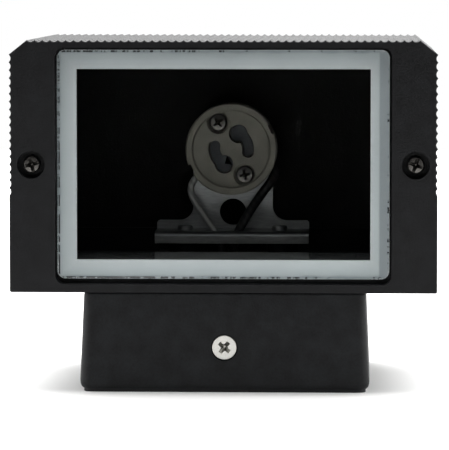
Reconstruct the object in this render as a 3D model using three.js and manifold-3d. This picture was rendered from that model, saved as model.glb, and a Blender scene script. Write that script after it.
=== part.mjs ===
// Outdoor wall luminaire: a fluted cast head with a bonded window and an empty GU10 lampholder,
// on a square base that hooks over a wall bracket. Millimetres. The wall is the plane Z = 0,
// +Z leads away from the wall, and the glazed face looks along -Y. X = 0 is the plane of symmetry.
import * as THREE from "three";
import { mergeVertices } from "three/addons/utils/BufferGeometryUtils.js";
import Module from "manifold-3d";

const wasm = await Module();
wasm.setup();

// Driving dimensions
const head = { width: 120, front: -50, back: 50, bottom: 29.2, top: 100, wall: 3.2, floor: 33.5 };
head.corner = { x: 5, z: 4, radius: 0.5 }; // upper chamfers, lower corner radius
head.step = { back: -1, top: 36.9 }; // raised front of the floor inside
head.cavity = { top: 96.4, back: 45, ledgeTop: 40.7, ledgeBack: 43.8 };
const flute = { pitch: 2.2, depth: 0.45, segments: 3, onTop: 50, onSide: 18 };
const bezel = { back: -41, rebate: -45.5, recess: { x: 47.2, low: 31.5, high: 97.85, radius: 2.6 } };
bezel.window = { x: 41.5, low: 38, high: 92.2 };
const glass = { x: 46.55, low: 33.1, high: 97.3, radius: 2.3, front: -49.6, thickness: 3 };
const sealant = { x: 41.25, low: 38.3, high: 91.9, gap: 0.3 }; // clear opening inside the silicone bed
const frontGasket = { thickness: 0.6, inset: 0.9 };
const bezelScrew = { x: 53.9, z: 65.1, bore: 3.9, seat: -46.4, headRadius: 2.45, headHeight: 1.9 };
bezelScrew.shank = { radius: 1.45, length: 18.4, hole: 1.8, holeDepth: 15 };
const screwBoss = { inner: 49.9, half: 4 };
const holder = { z: 66.55, front: 10, back: 20, radius: 13.6, faceRadius: 11.43, faceDepth: 1.6 };
holder.pinRadius = 5;
holder.entry = { radius: 2.8, angle: 64.8 }; // wide end of each keyhole
holder.slot = { width: 3.6, sweep: 74, depth: 6 }; // narrow arc that the pin turns into
holder.screw = { radius: 8.75, angle: 117, bore: 3.1, boreBack: 15 };
holder.notch = { angle: 27, width: 3, depth: 0.8 };
holder.contact = { width: 2.4, thickness: 1, length: 4.4, y: 16.6, along: 0.62 };
const cap = { radius: 13.2, front: 20.3, back: 26 };
cap.leadWay = { white: [222, 3], black: [330.5, 3.7], length: 8, y: 23 }; // angle and width of each
const bracket = { front: 26, thickness: 1.2, halfFoot: 23, halfNeck: 12, footTop: 44.3 };
bracket.shelf = { front: 14, top: 41.7, lipLow: 38.15, fillet: 4.2 };
bracket.leadSlot = { left: -8.5, right: 5.6, half: 2.6, radius: 2.5 };
bracket.hole = { z: 46.85, radius: 4 };
bracket.screw = { x: 14.2, y: 20, headRadius: 2.3, headHeight: 1.6, shank: 1.25, hole: 1.6 };
const pad = { halfWidth: 23, front: 12, back: 40, top: 34.3 };
const bush = { x: -1.6, y: 20, bore: 3.3, neck: 4.6, hole: 4.9, flange: 6.2, flangeTop: 35.5, low: 26.2 };
const base = { low: 1, high: 28.4, halfLow: 41.2, halfHigh: 40.1, radius: 3, wall: 2.5, topPlate: 2.5 };
const baseScrew = { z: 12.8, headRadius: 3.5, shank: 1.95, hole: 2.3, length: 8.2, sunk: 0.15, cone: 1.7 };
const baseNut = { side: 7, thickness: 2.2, outer: 35.8 };
const wallGasket = { thickness: 1, outer: 40.1, inner: 37.9 };
const headGasket = { half: 39 };
const headScrew = { x: 16, front: -31, back: 33, shank: 1.95, hole: 2.3, headRadius: 3.4, headHeight: 2 };
headScrew.top = 36;
headScrew.boss = { radius: 3.8, top: 36.9 };
const wallBracket = { thickness: 1.5, halfX: 30, halfY: 20, halfStrap: 12, cableHole: 8 };
wallBracket.tab = { outer: 37.6, half: 10, top: 19, slot: 2.4 };
wallBracket.slot = { x: 22, half: 2.7, length: 11 };
const cableBush = { bore: 5, neck: 7.6, flange: 9.8, top: 3, low: 0.3 };
const block = { halfX: 15, halfY: 8, low: 14.5, pitch: 9, bore: 1.9, boreZ: 20.5, screw: 1.7 };
block.hold = { y: -4, headRadius: 2.5, headHeight: 1.4, shank: 1.25, hole: 1.6, tip: 27.2 };
const earth = { x: 24, y: 22, bossRadius: 4, bossLength: 6, headRadius: 3.3 };
Object.assign(earth, { shank: 1.25, hole: 1.6, tip: 24.2 });
const lead = { white: 1, black: 1.35, earth: 1.1 };

// Finishes
const finish = (color, roughness, metalness, extra = {}) =>
  new THREE.MeshStandardMaterial({ color, roughness, metalness, ...extra });
const blackCoat = finish(0x242526, 0.5, 0.1);
const clearGlass = finish(0xaeb8bc, 0.05, 0, { transparent: true, opacity: 0.3 });
const greySilicone = finish(0x9ba3a6, 0.6, 0);
const blackRubber = finish(0x17181a, 0.8, 0);
const nickel = finish(0x6b6a68, 0.35, 1);
const stainless = finish(0xc9c8c4, 0.3, 1);
const steatite = finish(0xd8d3c4, 0.55, 0);
const zincPlate = finish(0x9a9c9c, 0.4, 1);
const brass = finish(0xb59a55, 0.35, 1);
const nylon = finish(0xe4e2da, 0.5, 0);
const whiteSleeve = finish(0xd9d9d4, 0.5, 0);
const blackSleeve = finish(0x1c1c1e, 0.5, 0);
const earthSleeve = finish(0x5d8a3a, 0.5, 0);

// A closed geometry as a solid, its triangles turned outwards if need be.
function solid(geometry) {
  const bare = geometry.clone();
  bare.deleteAttribute("normal");
  bare.deleteAttribute("uv");
  const merged = mergeVertices(bare, 1e-4);
  const index = merged.index.array;
  const kept = [];
  let volume = 0;
  const [a, b, c] = [new THREE.Vector3(), new THREE.Vector3(), new THREE.Vector3()];
  for (let i = 0; i < index.length; i += 3) {
    const [p, q, r] = index.slice(i, i + 3);
    if (p === q || q === r || r === p) continue;
    kept.push(p, q, r);
    [a, b, c].forEach((v, k) => v.fromBufferAttribute(merged.attributes.position, [p, q, r][k]));
    volume += a.dot(b.cross(c));
  }
  const triVerts = new Uint32Array(volume < 0 ? kept.reverse() : kept);
  const vertProperties = merged.attributes.position.array;
  return new wasm.Manifold(new wasm.Mesh({ numProp: 3, vertProperties, triVerts }));
}

const join = (first, ...others) => others.reduce((whole, next) => whole.add(next), first);
const cut = (first, ...others) => others.reduce((whole, next) => whole.subtract(next), first);

// A box between two corners.
function box(low, high) {
  const size = high.map((value, i) => value - low[i]);
  const middle = high.map((value, i) => (value + low[i]) / 2);
  return solid(new THREE.BoxGeometry(...size).translate(...middle));
}

// A prism of an outline drawn in X and Z, between two values of Y.
function alongY(shape, from, to, curveSegments = 8) {
  const options = { depth: to - from, bevelEnabled: false, curveSegments };
  return solid(new THREE.ExtrudeGeometry(shape, options).rotateX(Math.PI / 2).translate(0, to, 0));
}

// A prism of an outline drawn in X and Y, between two values of Z.
function alongZ(shape, from, to, curveSegments = 8) {
  const options = { depth: to - from, bevelEnabled: false, curveSegments };
  return solid(new THREE.ExtrudeGeometry(shape, options).translate(0, 0, from));
}

// A turned piece: profile points are [radius, distance along the axis].
function turnedY(profile, x, z, segments = 20) {
  const points = profile.map(([radius, along]) => new THREE.Vector2(radius, along));
  return solid(new THREE.LatheGeometry(points, segments).translate(x, 0, z));
}
function turnedZ(profile, x, y, segments = 20) {
  const points = profile.map(([radius, along]) => new THREE.Vector2(radius, along));
  return solid(new THREE.LatheGeometry(points, segments).rotateX(Math.PI / 2).translate(x, y, 0));
}
const rodY = (radius, from, to, x, z, segments = 20) =>
  turnedY([[0, from], [radius, from], [radius, to], [0, to]], x, z, segments);
const rodZ = (radius, from, to, x, y, segments = 20) =>
  turnedZ([[0, from], [radius, from], [radius, to], [0, to]], x, y, segments);

// A rectangle with rounded corners, between two corners of a plane.
function roundedRectangle(x0, y0, x1, y1, r) {
  const shape = new THREE.Shape();
  shape.moveTo(x0 + r, y0).lineTo(x1 - r, y0).absarc(x1 - r, y0 + r, r, -Math.PI / 2, 0);
  shape.lineTo(x1, y1 - r).absarc(x1 - r, y1 - r, r, 0, Math.PI / 2);
  shape.lineTo(x0 + r, y1).absarc(x0 + r, y1 - r, r, Math.PI / 2, Math.PI);
  shape.lineTo(x0, y0 + r).absarc(x0 + r, y0 + r, r, Math.PI, 1.5 * Math.PI);
  return shape;
}

// Concave flutes in a row from one ridge to the last, hollowed to the right of the way they run.
function flutes(start, direction, count) {
  const hollow = new THREE.Vector2(direction.y, -direction.x);
  const radius = (flute.pitch ** 2 / 4 + flute.depth ** 2) / (2 * flute.depth);
  const points = [];
  for (let i = 0; i < count * flute.segments; i++) {
    const across = ((i % flute.segments) / flute.segments - 0.5) * flute.pitch;
    const drop = Math.sqrt(radius ** 2 - across ** 2) - (radius - flute.depth);
    const travel = (i / flute.segments) * flute.pitch;
    points.push(start.clone().addScaledVector(direction, travel).addScaledVector(hollow, drop));
  }
  return points;
}

// The outline of the head: flutes round the top and the upper sides, plain sides below them.
function headOutline() {
  const half = head.width / 2;
  const shoulder = head.top - head.corner.z;
  const sideStart = shoulder - flute.onSide * flute.pitch;
  const r = head.corner.radius;
  const shape = new THREE.Shape();
  const line = (points) => points.forEach((p) => shape.lineTo(p.x, p.y));
  shape.moveTo(-half + r, head.bottom).lineTo(-half, head.bottom + r);
  line(flutes(new THREE.Vector2(-half, sideStart), new THREE.Vector2(0, 1), flute.onSide));
  shape.lineTo(-half, shoulder);
  line(flutes(new THREE.Vector2(-half + head.corner.x, head.top), new THREE.Vector2(1, 0), flute.onTop));
  shape.lineTo(half - head.corner.x, head.top);
  line(flutes(new THREE.Vector2(half, shoulder), new THREE.Vector2(0, -1), flute.onSide));
  shape.lineTo(half, sideStart).lineTo(half, head.bottom + r).lineTo(half - r, head.bottom);
  return shape;
}

// The same outline without flutes, drawn in by a distance.
function plainOutline(inset) {
  const half = head.width / 2 - inset;
  const top = head.top - inset;
  const shape = new THREE.Shape();
  shape.moveTo(-half, head.bottom + inset).lineTo(-half, head.top - head.corner.z - inset / 2);
  shape.lineTo(-head.width / 2 + head.corner.x + inset / 2, top);
  shape.lineTo(head.width / 2 - head.corner.x - inset / 2, top);
  return shape.lineTo(half, head.top - head.corner.z - inset / 2).lineTo(half, head.bottom + inset);
}

// The hollow of the head, with a rib on each side for the bezel screw.
function cavityOutline() {
  const half = head.width / 2 - head.wall;
  const low = bezelScrew.z - screwBoss.half;
  const high = bezelScrew.z + screwBoss.half;
  const shape = new THREE.Shape();
  shape.moveTo(-half, head.floor).lineTo(half, head.floor).lineTo(half, low);
  shape.lineTo(screwBoss.inner, low).lineTo(screwBoss.inner, high).lineTo(half, high);
  shape.lineTo(half, head.cavity.top - 2).lineTo(half - 2, head.cavity.top);
  shape.lineTo(-half + 2, head.cavity.top).lineTo(-half, head.cavity.top - 2).lineTo(-half, high);
  return shape.lineTo(-screwBoss.inner, high).lineTo(-screwBoss.inner, low).lineTo(-half, low);
}

// A cross recess for a screwdriver, cut into a face at right angles to Y or Z.
function crossY(x, z, face, into, span, width) {
  const from = Math.min(face - into / 4, face + into);
  const to = Math.max(face - into / 4, face + into);
  return join(
    box([x - span / 2, from, z - width / 2], [x + span / 2, to, z + width / 2]),
    box([x - width / 2, from, z - span / 2], [x + width / 2, to, z + span / 2]),
  );
}
function crossZ(x, y, face, into, span, width) {
  const from = Math.min(face - into / 4, face + into);
  const to = Math.max(face - into / 4, face + into);
  return join(
    box([x - span / 2, y - width / 2, from], [x + span / 2, y + width / 2, to]),
    box([x - width / 2, y - span / 2, from], [x + width / 2, y + span / 2, to]),
  );
}

const bothSides = [-1, 1];
const holderPoint = (radius, degrees) => {
  const angle = THREE.MathUtils.degToRad(degrees);
  return [radius * Math.cos(angle), holder.z + radius * Math.sin(angle)];
};

// Front frame: the bezel with its pane
function frontBezel() {
  const { recess, window } = bezel;
  const pocket = roundedRectangle(-recess.x, recess.low, recess.x, recess.high, recess.radius);
  const bores = bothSides.flatMap((side) => [
    rodY(bezelScrew.bore, head.front - 1, bezelScrew.seat, side * bezelScrew.x, bezelScrew.z),
    rodY(bezelScrew.shank.hole, head.front, bezel.back + 1, side * bezelScrew.x, bezelScrew.z, 12),
  ]);
  return cut(
    alongY(headOutline(), head.front, bezel.back),
    alongY(pocket, head.front - 1, bezel.rebate, 6),
    box([-window.x, bezel.rebate - 1, window.low], [window.x, bezel.back + 1, window.high]),
    ...bores,
  );
}

function glassPane() {
  const outline = roundedRectangle(-glass.x, glass.low, glass.x, glass.high, glass.radius);
  return alongY(outline, glass.front, glass.front + glass.thickness, 6);
}

function glassSealant() {
  const { recess } = bezel;
  const { gap } = sealant;
  const outline = roundedRectangle(
    -recess.x + gap, recess.low + gap, recess.x - gap, recess.high - gap, recess.radius - gap,
  );
  const back = glass.front + glass.thickness;
  return cut(
    alongY(outline, back, bezel.rebate, 6),
    box([-sealant.x, back - 1, sealant.low], [sealant.x, bezel.rebate + 1, sealant.high]),
  );
}

function frontGasketRing() {
  const back = bezel.back + frontGasket.thickness;
  const holes = bothSides.map((side) =>
    rodY(bezelScrew.shank.hole, bezel.back - 1, back + 1, side * bezelScrew.x, bezelScrew.z, 12),
  );
  return cut(
    alongY(plainOutline(frontGasket.inset), bezel.back, back),
    alongY(cavityOutline(), bezel.back - 1, back + 1),
    ...holes,
  );
}

function bezelScrewAt(side) {
  const x = side * bezelScrew.x;
  const { seat, headRadius, headHeight, shank } = bezelScrew;
  const face = seat - headHeight;
  const profile = [
    [0, face], [headRadius - 0.7, face], [headRadius, face + 0.7], [headRadius, seat],
    [shank.radius, seat], [shank.radius, seat + shank.length], [0, seat + shank.length + 0.8],
  ];
  return cut(turnedY(profile, x, bezelScrew.z, 16), crossY(x, bezelScrew.z, face, 1.1, 2.9, 0.7));
}

// Head: the cast box that carries the lampholder
function headHousing() {
  const front = bezel.back + frontGasket.thickness;
  const { cavity } = head;
  const inner = head.width / 2 - head.wall;
  const shell = cut(
    alongY(headOutline(), front, head.back),
    alongY(cavityOutline(), front - 1, cavity.back),
  );
  const headScrewPlaces = bothSides.flatMap((side) =>
    [headScrew.front, headScrew.back].map((y) => [side * headScrew.x, y]),
  );
  const under = head.floor - 0.5;
  const { boss } = headScrew;
  const shelfUnder = bracket.shelf.top - bracket.thickness;
  return cut(
    join(
      shell,
      box([-inner - 0.5, cavity.ledgeBack, under], [inner + 0.5, cavity.back + 0.5, cavity.ledgeTop]),
      box([-inner - 0.5, front, under], [inner + 0.5, head.step.back, head.step.top]),
      box([-pad.halfWidth, pad.front, under], [pad.halfWidth, pad.back, pad.top]),
      ...bothSides.map((side) =>
        rodZ(4, under, shelfUnder, side * bracket.screw.x, bracket.screw.y, 16),
      ),
      ...headScrewPlaces.map(([x, y]) => rodZ(boss.radius, under, boss.top, x, y, 16)),
    ),
    ...bothSides.map((side) =>
      rodZ(bracket.screw.hole, head.floor + 1, shelfUnder + 1, side * bracket.screw.x, bracket.screw.y, 12),
    ),
    ...headScrewPlaces.map(([x, y]) =>
      rodZ(headScrew.hole, head.bottom - 1, headScrew.top + 0.5, x, y, 12),
    ),
    ...bothSides.map((side) =>
      rodY(bezelScrew.shank.hole, front - 1, front + bezelScrew.shank.holeDepth,
        side * bezelScrew.x, bezelScrew.z, 12),
    ),
    rodZ(bush.hole, head.bottom - 1, pad.top + 1, bush.x, bush.y),
  );
}

// Lampholder, its cap, contacts and screws
function keyhole(turn, from, to) {
  const start = THREE.MathUtils.degToRad(holder.entry.angle + turn);
  const end = start - THREE.MathUtils.degToRad(holder.slot.sweep);
  const outer = holder.pinRadius + holder.slot.width / 2;
  const inner = holder.pinRadius - holder.slot.width / 2;
  const shape = new THREE.Shape();
  shape.absarc(0, holder.z, outer, start, end, true);
  shape.absarc(
    holder.pinRadius * Math.cos(end), holder.z + holder.pinRadius * Math.sin(end),
    holder.slot.width / 2, end, end - Math.PI, true,
  );
  shape.absarc(0, holder.z, inner, end, start, false);
  const [x, z] = holderPoint(holder.pinRadius, holder.entry.angle + turn);
  return join(alongY(shape, from, to, 6), rodY(holder.entry.radius, from, to, x, z, 16));
}

function lampholderBody() {
  const face = holder.front + holder.faceDepth;
  const notches = [0, 180].map((turn) => {
    const reach = holder.radius - holder.notch.depth;
    const outside = new THREE.BoxGeometry(4, holder.back - holder.front + 2, holder.notch.width);
    outside.translate(reach + 2, (holder.front + holder.back) / 2, 0);
    outside.rotateY(-THREE.MathUtils.degToRad(holder.notch.angle + turn)).translate(0, 0, holder.z);
    return solid(outside);
  });
  const screwHoles = [0, 180].flatMap((turn) => {
    const [x, z] = holderPoint(holder.screw.radius, holder.screw.angle + turn);
    return [
      rodY(holder.screw.bore, holder.front - 1, holder.screw.boreBack, x, z, 16),
      rodY(1.8, holder.front, holder.back + 1, x, z, 10),
    ];
  });
  return cut(
    rodY(holder.radius, holder.front, holder.back, 0, holder.z, 40),
    rodY(holder.faceRadius, holder.front - 1, face, 0, holder.z, 40),
    keyhole(0, face - 1, face + holder.slot.depth),
    keyhole(180, face - 1, face + holder.slot.depth),
    ...screwHoles,
    ...notches,
  );
}

function lampholderCap() {
  const screwHoles = [0, 180].map((turn) => {
    const [x, z] = holderPoint(holder.screw.radius, holder.screw.angle + turn);
    return rodY(1.8, cap.front - 1, cap.back + 1, x, z, 10);
  });
  const { white, black, length, y } = cap.leadWay;
  const leadWays = [white, black].map(([degrees, width]) => {
    const way = new THREE.BoxGeometry(length, width, width).translate(cap.radius - 1, y, 0);
    way.rotateY(-THREE.MathUtils.degToRad(degrees)).translate(0, 0, holder.z);
    return solid(way);
  });
  return cut(rodY(cap.radius, cap.front, cap.back, 0, holder.z, 32), ...screwHoles, ...leadWays);
}

// A contact spring lies at the bottom of each keyhole, under the narrow end.
function contactAt(turn) {
  const { width, thickness, length, y, along } = holder.contact;
  const middle = holder.entry.angle + turn - holder.slot.sweep * along;
  const spring = new THREE.BoxGeometry(width, thickness, length).translate(holder.pinRadius, y, 0);
  spring.rotateY(-THREE.MathUtils.degToRad(middle)).translate(0, 0, holder.z);
  return solid(spring);
}

function lampholderScrewAt(turn) {
  const [x, z] = holderPoint(holder.screw.radius, holder.screw.angle + turn);
  const seat = holder.screw.boreBack;
  const profile = [
    [0, seat - 1.8], [2, seat - 1.8], [2.6, seat - 1.1], [2.6, seat],
    [1.45, seat], [1.45, 29], [0, 29.6],
  ];
  return cut(turnedY(profile, x, z, 14), crossY(x, z, seat - 1.8, 1, 3, 0.7));
}

// Bracket: an upright plate with a half-round top behind the lampholder, on a shelf with a
// short lip turned down in front
function lampholderBracket() {
  const { halfFoot, halfNeck, footTop, shelf, front, thickness, hole, screw } = bracket;
  const under = shelf.top - thickness;
  const plate = new THREE.Shape();
  plate.moveTo(halfFoot, under).lineTo(halfFoot, footTop - 1);
  plate.absarc(halfFoot - 1, footTop - 1, 1, 0, Math.PI / 2);
  plate.lineTo(halfNeck + shelf.fillet, footTop);
  plate.absarc(halfNeck + shelf.fillet, footTop + shelf.fillet, shelf.fillet, -Math.PI / 2, -Math.PI, true);
  plate.lineTo(halfNeck, holder.z).absarc(0, holder.z, halfNeck, 0, Math.PI / 2);
  plate.absarc(0, holder.z, halfNeck, Math.PI / 2, Math.PI);
  plate.lineTo(-halfNeck, footTop + shelf.fillet);
  plate.absarc(-halfNeck - shelf.fillet, footTop + shelf.fillet, shelf.fillet, 0, -Math.PI / 2, true);
  plate.lineTo(-halfFoot + 1, footTop).absarc(-halfFoot + 1, footTop - 1, 1, Math.PI / 2, Math.PI);
  plate.lineTo(-halfFoot, under);
  const { left, right, half, radius } = bracket.leadSlot;
  const leadSlot = roundedRectangle(left, screw.y - half, right, screw.y + half, radius);
  const screwHoles = [0, 180].map((turn) => {
    const [x, z] = holderPoint(holder.screw.radius, holder.screw.angle + turn);
    return rodY(1.8, front - 1, front + thickness + 1, x, z, 10);
  });
  return cut(
    join(
      alongY(plate, front, front + thickness, 4),
      box([-halfFoot, shelf.front, under], [halfFoot, front + thickness, shelf.top]),
      box([-halfFoot, shelf.front, shelf.lipLow], [halfFoot, shelf.front + thickness, shelf.top]),
    ),
    rodY(hole.radius, front - 1, front + thickness + 1, 0, hole.z, 24),
    alongZ(leadSlot, under - 1, shelf.top + 1, 3),
    ...bothSides.map((side) => rodZ(screw.hole, under - 1, shelf.top + 1, side * screw.x, screw.y, 12)),
    ...screwHoles,
  );
}

function bracketScrewAt(side) {
  const { x, y, headRadius, headHeight, shank } = bracket.screw;
  const seat = bracket.shelf.top;
  const face = seat + headHeight;
  const profile = [
    [0, head.floor + 1.6], [shank, head.floor + 2], [shank, seat], [headRadius, seat],
    [headRadius, face - 0.5], [headRadius - 0.6, face], [0, face],
  ];
  return cut(turnedZ(profile, side * x, y, 14), crossZ(side * x, y, face, -0.9, 2.6, 0.6));
}

// Base: a drafted cover over the wall bracket
function drafted(halfLow, halfHigh, low, high, radius) {
  const outline = roundedRectangle(-halfLow, -halfLow, halfLow, halfLow, radius);
  const options = { depth: high - low, bevelEnabled: false, curveSegments: 5 };
  const geometry = new THREE.ExtrudeGeometry(outline, options).translate(0, 0, low);
  const place = geometry.attributes.position;
  for (let i = 0; i < place.count; i++) {
    if (place.getZ(i) < high) continue;
    place.setXY(i, (place.getX(i) * halfHigh) / halfLow, (place.getY(i) * halfHigh) / halfLow);
  }
  return solid(geometry);
}

const baseHalfAt = (z) =>
  base.halfLow + ((z - base.low) / (base.high - base.low)) * (base.halfHigh - base.halfLow);

function baseCover() {
  const under = base.high - base.topPlate;
  const face = baseHalfAt(baseScrew.z);
  const { headRadius, hole, cone, z } = baseScrew;
  const sinks = bothSides.flatMap((side) => [
    turnedY([
      [0, side * (face + 1)], [headRadius + 0.3, side * (face + 1)],
      [headRadius + 0.3, side * (face - 0.3)], [hole, side * (face - 0.3 - cone)],
      [hole, side * (face - base.wall - 2)], [0, side * (face - base.wall - 2)],
    ], 0, z),
  ]);
  return cut(
    join(
      cut(
        drafted(base.halfLow, base.halfHigh, base.low, base.high, base.radius),
        drafted(base.halfLow - base.wall, base.halfHigh - base.wall, base.low - 0.5, under, 1.2),
      ),
      rodZ(earth.bossRadius, under - earth.bossLength, under + 0.5, earth.x, earth.y, 16),
    ),
    rodZ(earth.hole, under - earth.bossLength - 1, under - 0.5, earth.x, earth.y, 12),
    ...bothSides.flatMap((side) =>
      [headScrew.front, headScrew.back].map((y) =>
        rodZ(headScrew.hole, under - 1, base.high + 1, side * headScrew.x, y, 12),
      ),
    ),
    rodZ(bush.hole, under - 1, base.high + 1, bush.x, bush.y),
    rodZ(block.hold.hole, under - 1, under + 1.8, -block.pitch / 2, block.hold.y, 12),
    ...sinks,
  );
}

function headGasketSheet() {
  const { half } = headGasket;
  return cut(
    alongZ(roundedRectangle(-half, -half, half, half, 2), base.high, head.bottom, 4),
    ...bothSides.flatMap((side) =>
      [headScrew.front, headScrew.back].map((y) =>
        rodZ(headScrew.hole, base.high - 1, head.bottom + 1, side * headScrew.x, y, 12),
      ),
    ),
    rodZ(bush.hole, base.high - 1, head.bottom + 1, bush.x, bush.y),
  );
}

function wallGasketRing() {
  const { outer, inner, thickness } = wallGasket;
  return cut(
    alongZ(roundedRectangle(-outer, -outer, outer, outer, base.radius), 0, thickness, 5),
    alongZ(roundedRectangle(-inner, -inner, inner, inner, 1), -1, thickness + 1, 3),
  );
}

// Countersunk screw in the front (side -1) or rear (side 1) face of the base
function baseScrewAt(side) {
  const face = baseHalfAt(baseScrew.z) - baseScrew.sunk;
  const { headRadius, shank, cone, length, z } = baseScrew;
  const profile = [
    [0, face], [headRadius - 0.15, face], [headRadius, face - 0.15], [headRadius, face - 0.3],
    [shank, face - 0.3 - cone], [shank, face - length], [0, face - length - 0.8],
  ];
  return cut(
    turnedY(profile.map(([r, y]) => [r, side * y]), 0, z, 20),
    crossY(0, z, side * face, -side * 1.5, 3.7, 0.9),
  );
}

function baseNutAt(side) {
  const { side: width, thickness, outer } = baseNut;
  const [low, high] = [side * outer, side * (outer - thickness)].sort((a, b) => a - b);
  const { z, hole } = baseScrew;
  return cut(
    box([-width / 2, low, z - width / 2], [width / 2, high, z + width / 2]),
    rodY(hole, low - 1, high + 1, 0, z, 20),
  );
}

function headScrewAt(x, y) {
  const seat = base.high - base.topPlate;
  const face = seat - headScrew.headHeight;
  const profile = [
    [0, face], [headScrew.headRadius - 0.6, face], [headScrew.headRadius, face + 0.6],
    [headScrew.headRadius, seat], [headScrew.shank, seat], [headScrew.shank, headScrew.top - 0.6],
    [0, headScrew.top],
  ];
  return cut(turnedZ(profile, x, y, 14), crossZ(x, y, face, 1.1, 3.6, 0.8));
}

// Wiring inside the head and the base
function leadBush() {
  const { bore, neck, flange, flangeTop, low, x, y } = bush;
  return turnedZ([
    [bore, low], [neck, low], [neck, pad.top], [flange, pad.top],
    [flange, flangeTop - 0.4], [flange - 0.4, flangeTop], [bore, flangeTop], [bore, low],
  ], x, y, 20);
}

// A round lead along a smooth curve through its points.
function leadAlong(points, radius, steps) {
  const sides = 8;
  const section = new THREE.Shape();
  for (let i = 0; i < sides; i++) {
    const angle = (2 * Math.PI * i) / sides;
    section[i ? "lineTo" : "moveTo"](radius * Math.cos(angle), radius * Math.sin(angle));
  }
  const extrudePath = new THREE.CatmullRomCurve3(points.map((p) => new THREE.Vector3(...p)));
  return solid(new THREE.ExtrudeGeometry(section, { steps, extrudePath, bevelEnabled: false }));
}

const whiteRoute = [
  [-9.4, 23, 58.3], [-11.8, 22.9, 56.4], [-12.6, 22.6, 53.3], [-11, 21.9, 49.5], [-8.4, 21, 45.8],
  [-5.9, 20.4, 42.3], [-4.2, 20, 39.3], [-3.2, 20, 35.4], [-3.1, 20, 31], [-3.1, 20, 26], [-4.6, 18, 22.4],
  [-8.2, 13.4, 20.7], [-9, 8.6, 20.5],
];
const blackRoute = [
  [9.9, 23, 60.9], [12.4, 22.9, 59.4], [11.9, 22.6, 57], [9.2, 22, 53.2], [6.3, 21.2, 49], [3.6, 20.4, 44.7],
  [1.6, 20, 40.8], [0.3, 20, 36.6], [-0.2, 20, 31], [-0.1, 20, 26], [1.8, 18.2, 22.6],
  [7.4, 13.8, 20.7], [9, 8.6, 20.5],
];
const earthRoute = [
  [0, 8.6, 20.5], [0.2, 12, 20], [3.4, 15.4, 17.2], [9.4, 18, 15.2], [16, 20.6, 15.6], [20.6, 21.4, 17.3],
];

function terminalBlock() {
  const { halfX, halfY, low, pitch, bore, boreZ, screw } = block;
  const high = base.high - base.topPlate;
  const wells = [-1, 0, 1].flatMap((k) => [
    rodY(bore, -halfY - 1, halfY + 1, k * pitch, boreZ, 12),
    rodZ(screw + 0.4, low - 1, boreZ, k * pitch, 4, 12),
  ]);
  return cut(
    box([-halfX, -halfY, low], [halfX, halfY, high]),
    box([-pitch / 2 - 0.6, -halfY - 1, low - 1], [-pitch / 2 + 0.6, halfY + 1, low + 2]),
    box([pitch / 2 - 0.6, -halfY - 1, low - 1], [pitch / 2 + 0.6, halfY + 1, low + 2]),
    rodZ(block.hold.hole, low - 1, high + 1, -pitch / 2, block.hold.y, 12),
    ...wells,
  );
}

function terminalScrewAt(x) {
  const { low, boreZ, screw } = block;
  const rod = rodZ(screw, low + 1, boreZ + 0.4, x, 4, 12);
  return cut(rod, box([x - screw, 3.6, low], [x + screw, 4.4, low + 1.9]));
}

function blockScrew() {
  const { y, headRadius, headHeight, shank, tip } = block.hold;
  const x = -block.pitch / 2;
  const face = block.low - headHeight;
  const profile = [
    [0, face], [headRadius - 0.5, face], [headRadius, face + 0.5], [headRadius, block.low],
    [shank, block.low], [shank, tip], [0, tip + 0.4],
  ];
  return cut(turnedZ(profile, x, y, 12), crossZ(x, y, face, 0.8, 2.8, 0.6));
}

const earthSeat = base.high - base.topPlate - earth.bossLength - 1.4;

function earthScrew() {
  const { x, y, headRadius, shank, tip } = earth;
  const face = earthSeat - 2;
  const profile = [
    [0, face], [headRadius - 0.6, face], [headRadius, face + 0.6], [headRadius, earthSeat],
    [shank, earthSeat], [shank, tip], [0, tip + 0.5],
  ];
  return cut(turnedZ(profile, x, y, 14), crossZ(x, y, face, 1, 3.4, 0.7));
}

// A ring tag on the earth lead, held under the earth screw
function earthTag() {
  const { x, y, hole } = earth;
  const top = earthSeat + 1.1;
  const ring = join(
    rodZ(3.6, top - 0.8, top, x, y, 16),
    box([x - 3.8, y - 1.4, top - 0.8], [x - 2, y + 0.6, top]),
  );
  return cut(ring, rodZ(hole, top - 2, top + 1, x, y, 12));
}

// Wall bracket: a plate on the wall with a turned-up tab at each end, slotted from the top
function wallBracketPlate() {
  const { thickness, halfX, halfY, halfStrap, cableHole, tab, slot } = wallBracket;
  const tabs = bothSides.map((side) => {
    const [low, high] = [side * tab.outer, side * (tab.outer - thickness)].sort((a, b) => a - b);
    const shape = new THREE.Shape();
    shape.moveTo(-tab.half, 0).lineTo(tab.half, 0).lineTo(tab.half, tab.top - 2);
    shape.lineTo(tab.half - 2, tab.top).lineTo(tab.slot, tab.top).lineTo(tab.slot, baseScrew.z);
    shape.absarc(0, baseScrew.z, tab.slot, 0, -Math.PI, true);
    shape.lineTo(-tab.slot, tab.top).lineTo(-tab.half + 2, tab.top).lineTo(-tab.half, tab.top - 2);
    return alongY(shape, low, high);
  });
  const fixings = bothSides.map((side) => alongZ(roundedRectangle(
    side * slot.x - slot.half, -slot.length / 2, side * slot.x + slot.half, slot.length / 2, slot.half - 0.05,
  ), -1, thickness + 1, 5));
  return cut(
    join(
      alongZ(roundedRectangle(-halfX, -halfY, halfX, halfY, 4), 0, thickness, 5),
      box([-halfStrap, -tab.outer, 0], [halfStrap, tab.outer, thickness]),
      ...tabs,
    ),
    rodZ(cableHole, -1, thickness + 1, 0, 0, 28),
    ...fixings,
  );
}

function cableBushRing() {
  const { bore, neck, flange, top, low } = cableBush;
  const seat = wallBracket.thickness;
  return turnedZ([
    [bore, low], [neck, low], [neck, seat], [flange, seat], [flange, top - 0.4],
    [flange - 0.4, top], [bore, top], [bore, low],
  ], 0, 0, 24);
}

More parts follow.
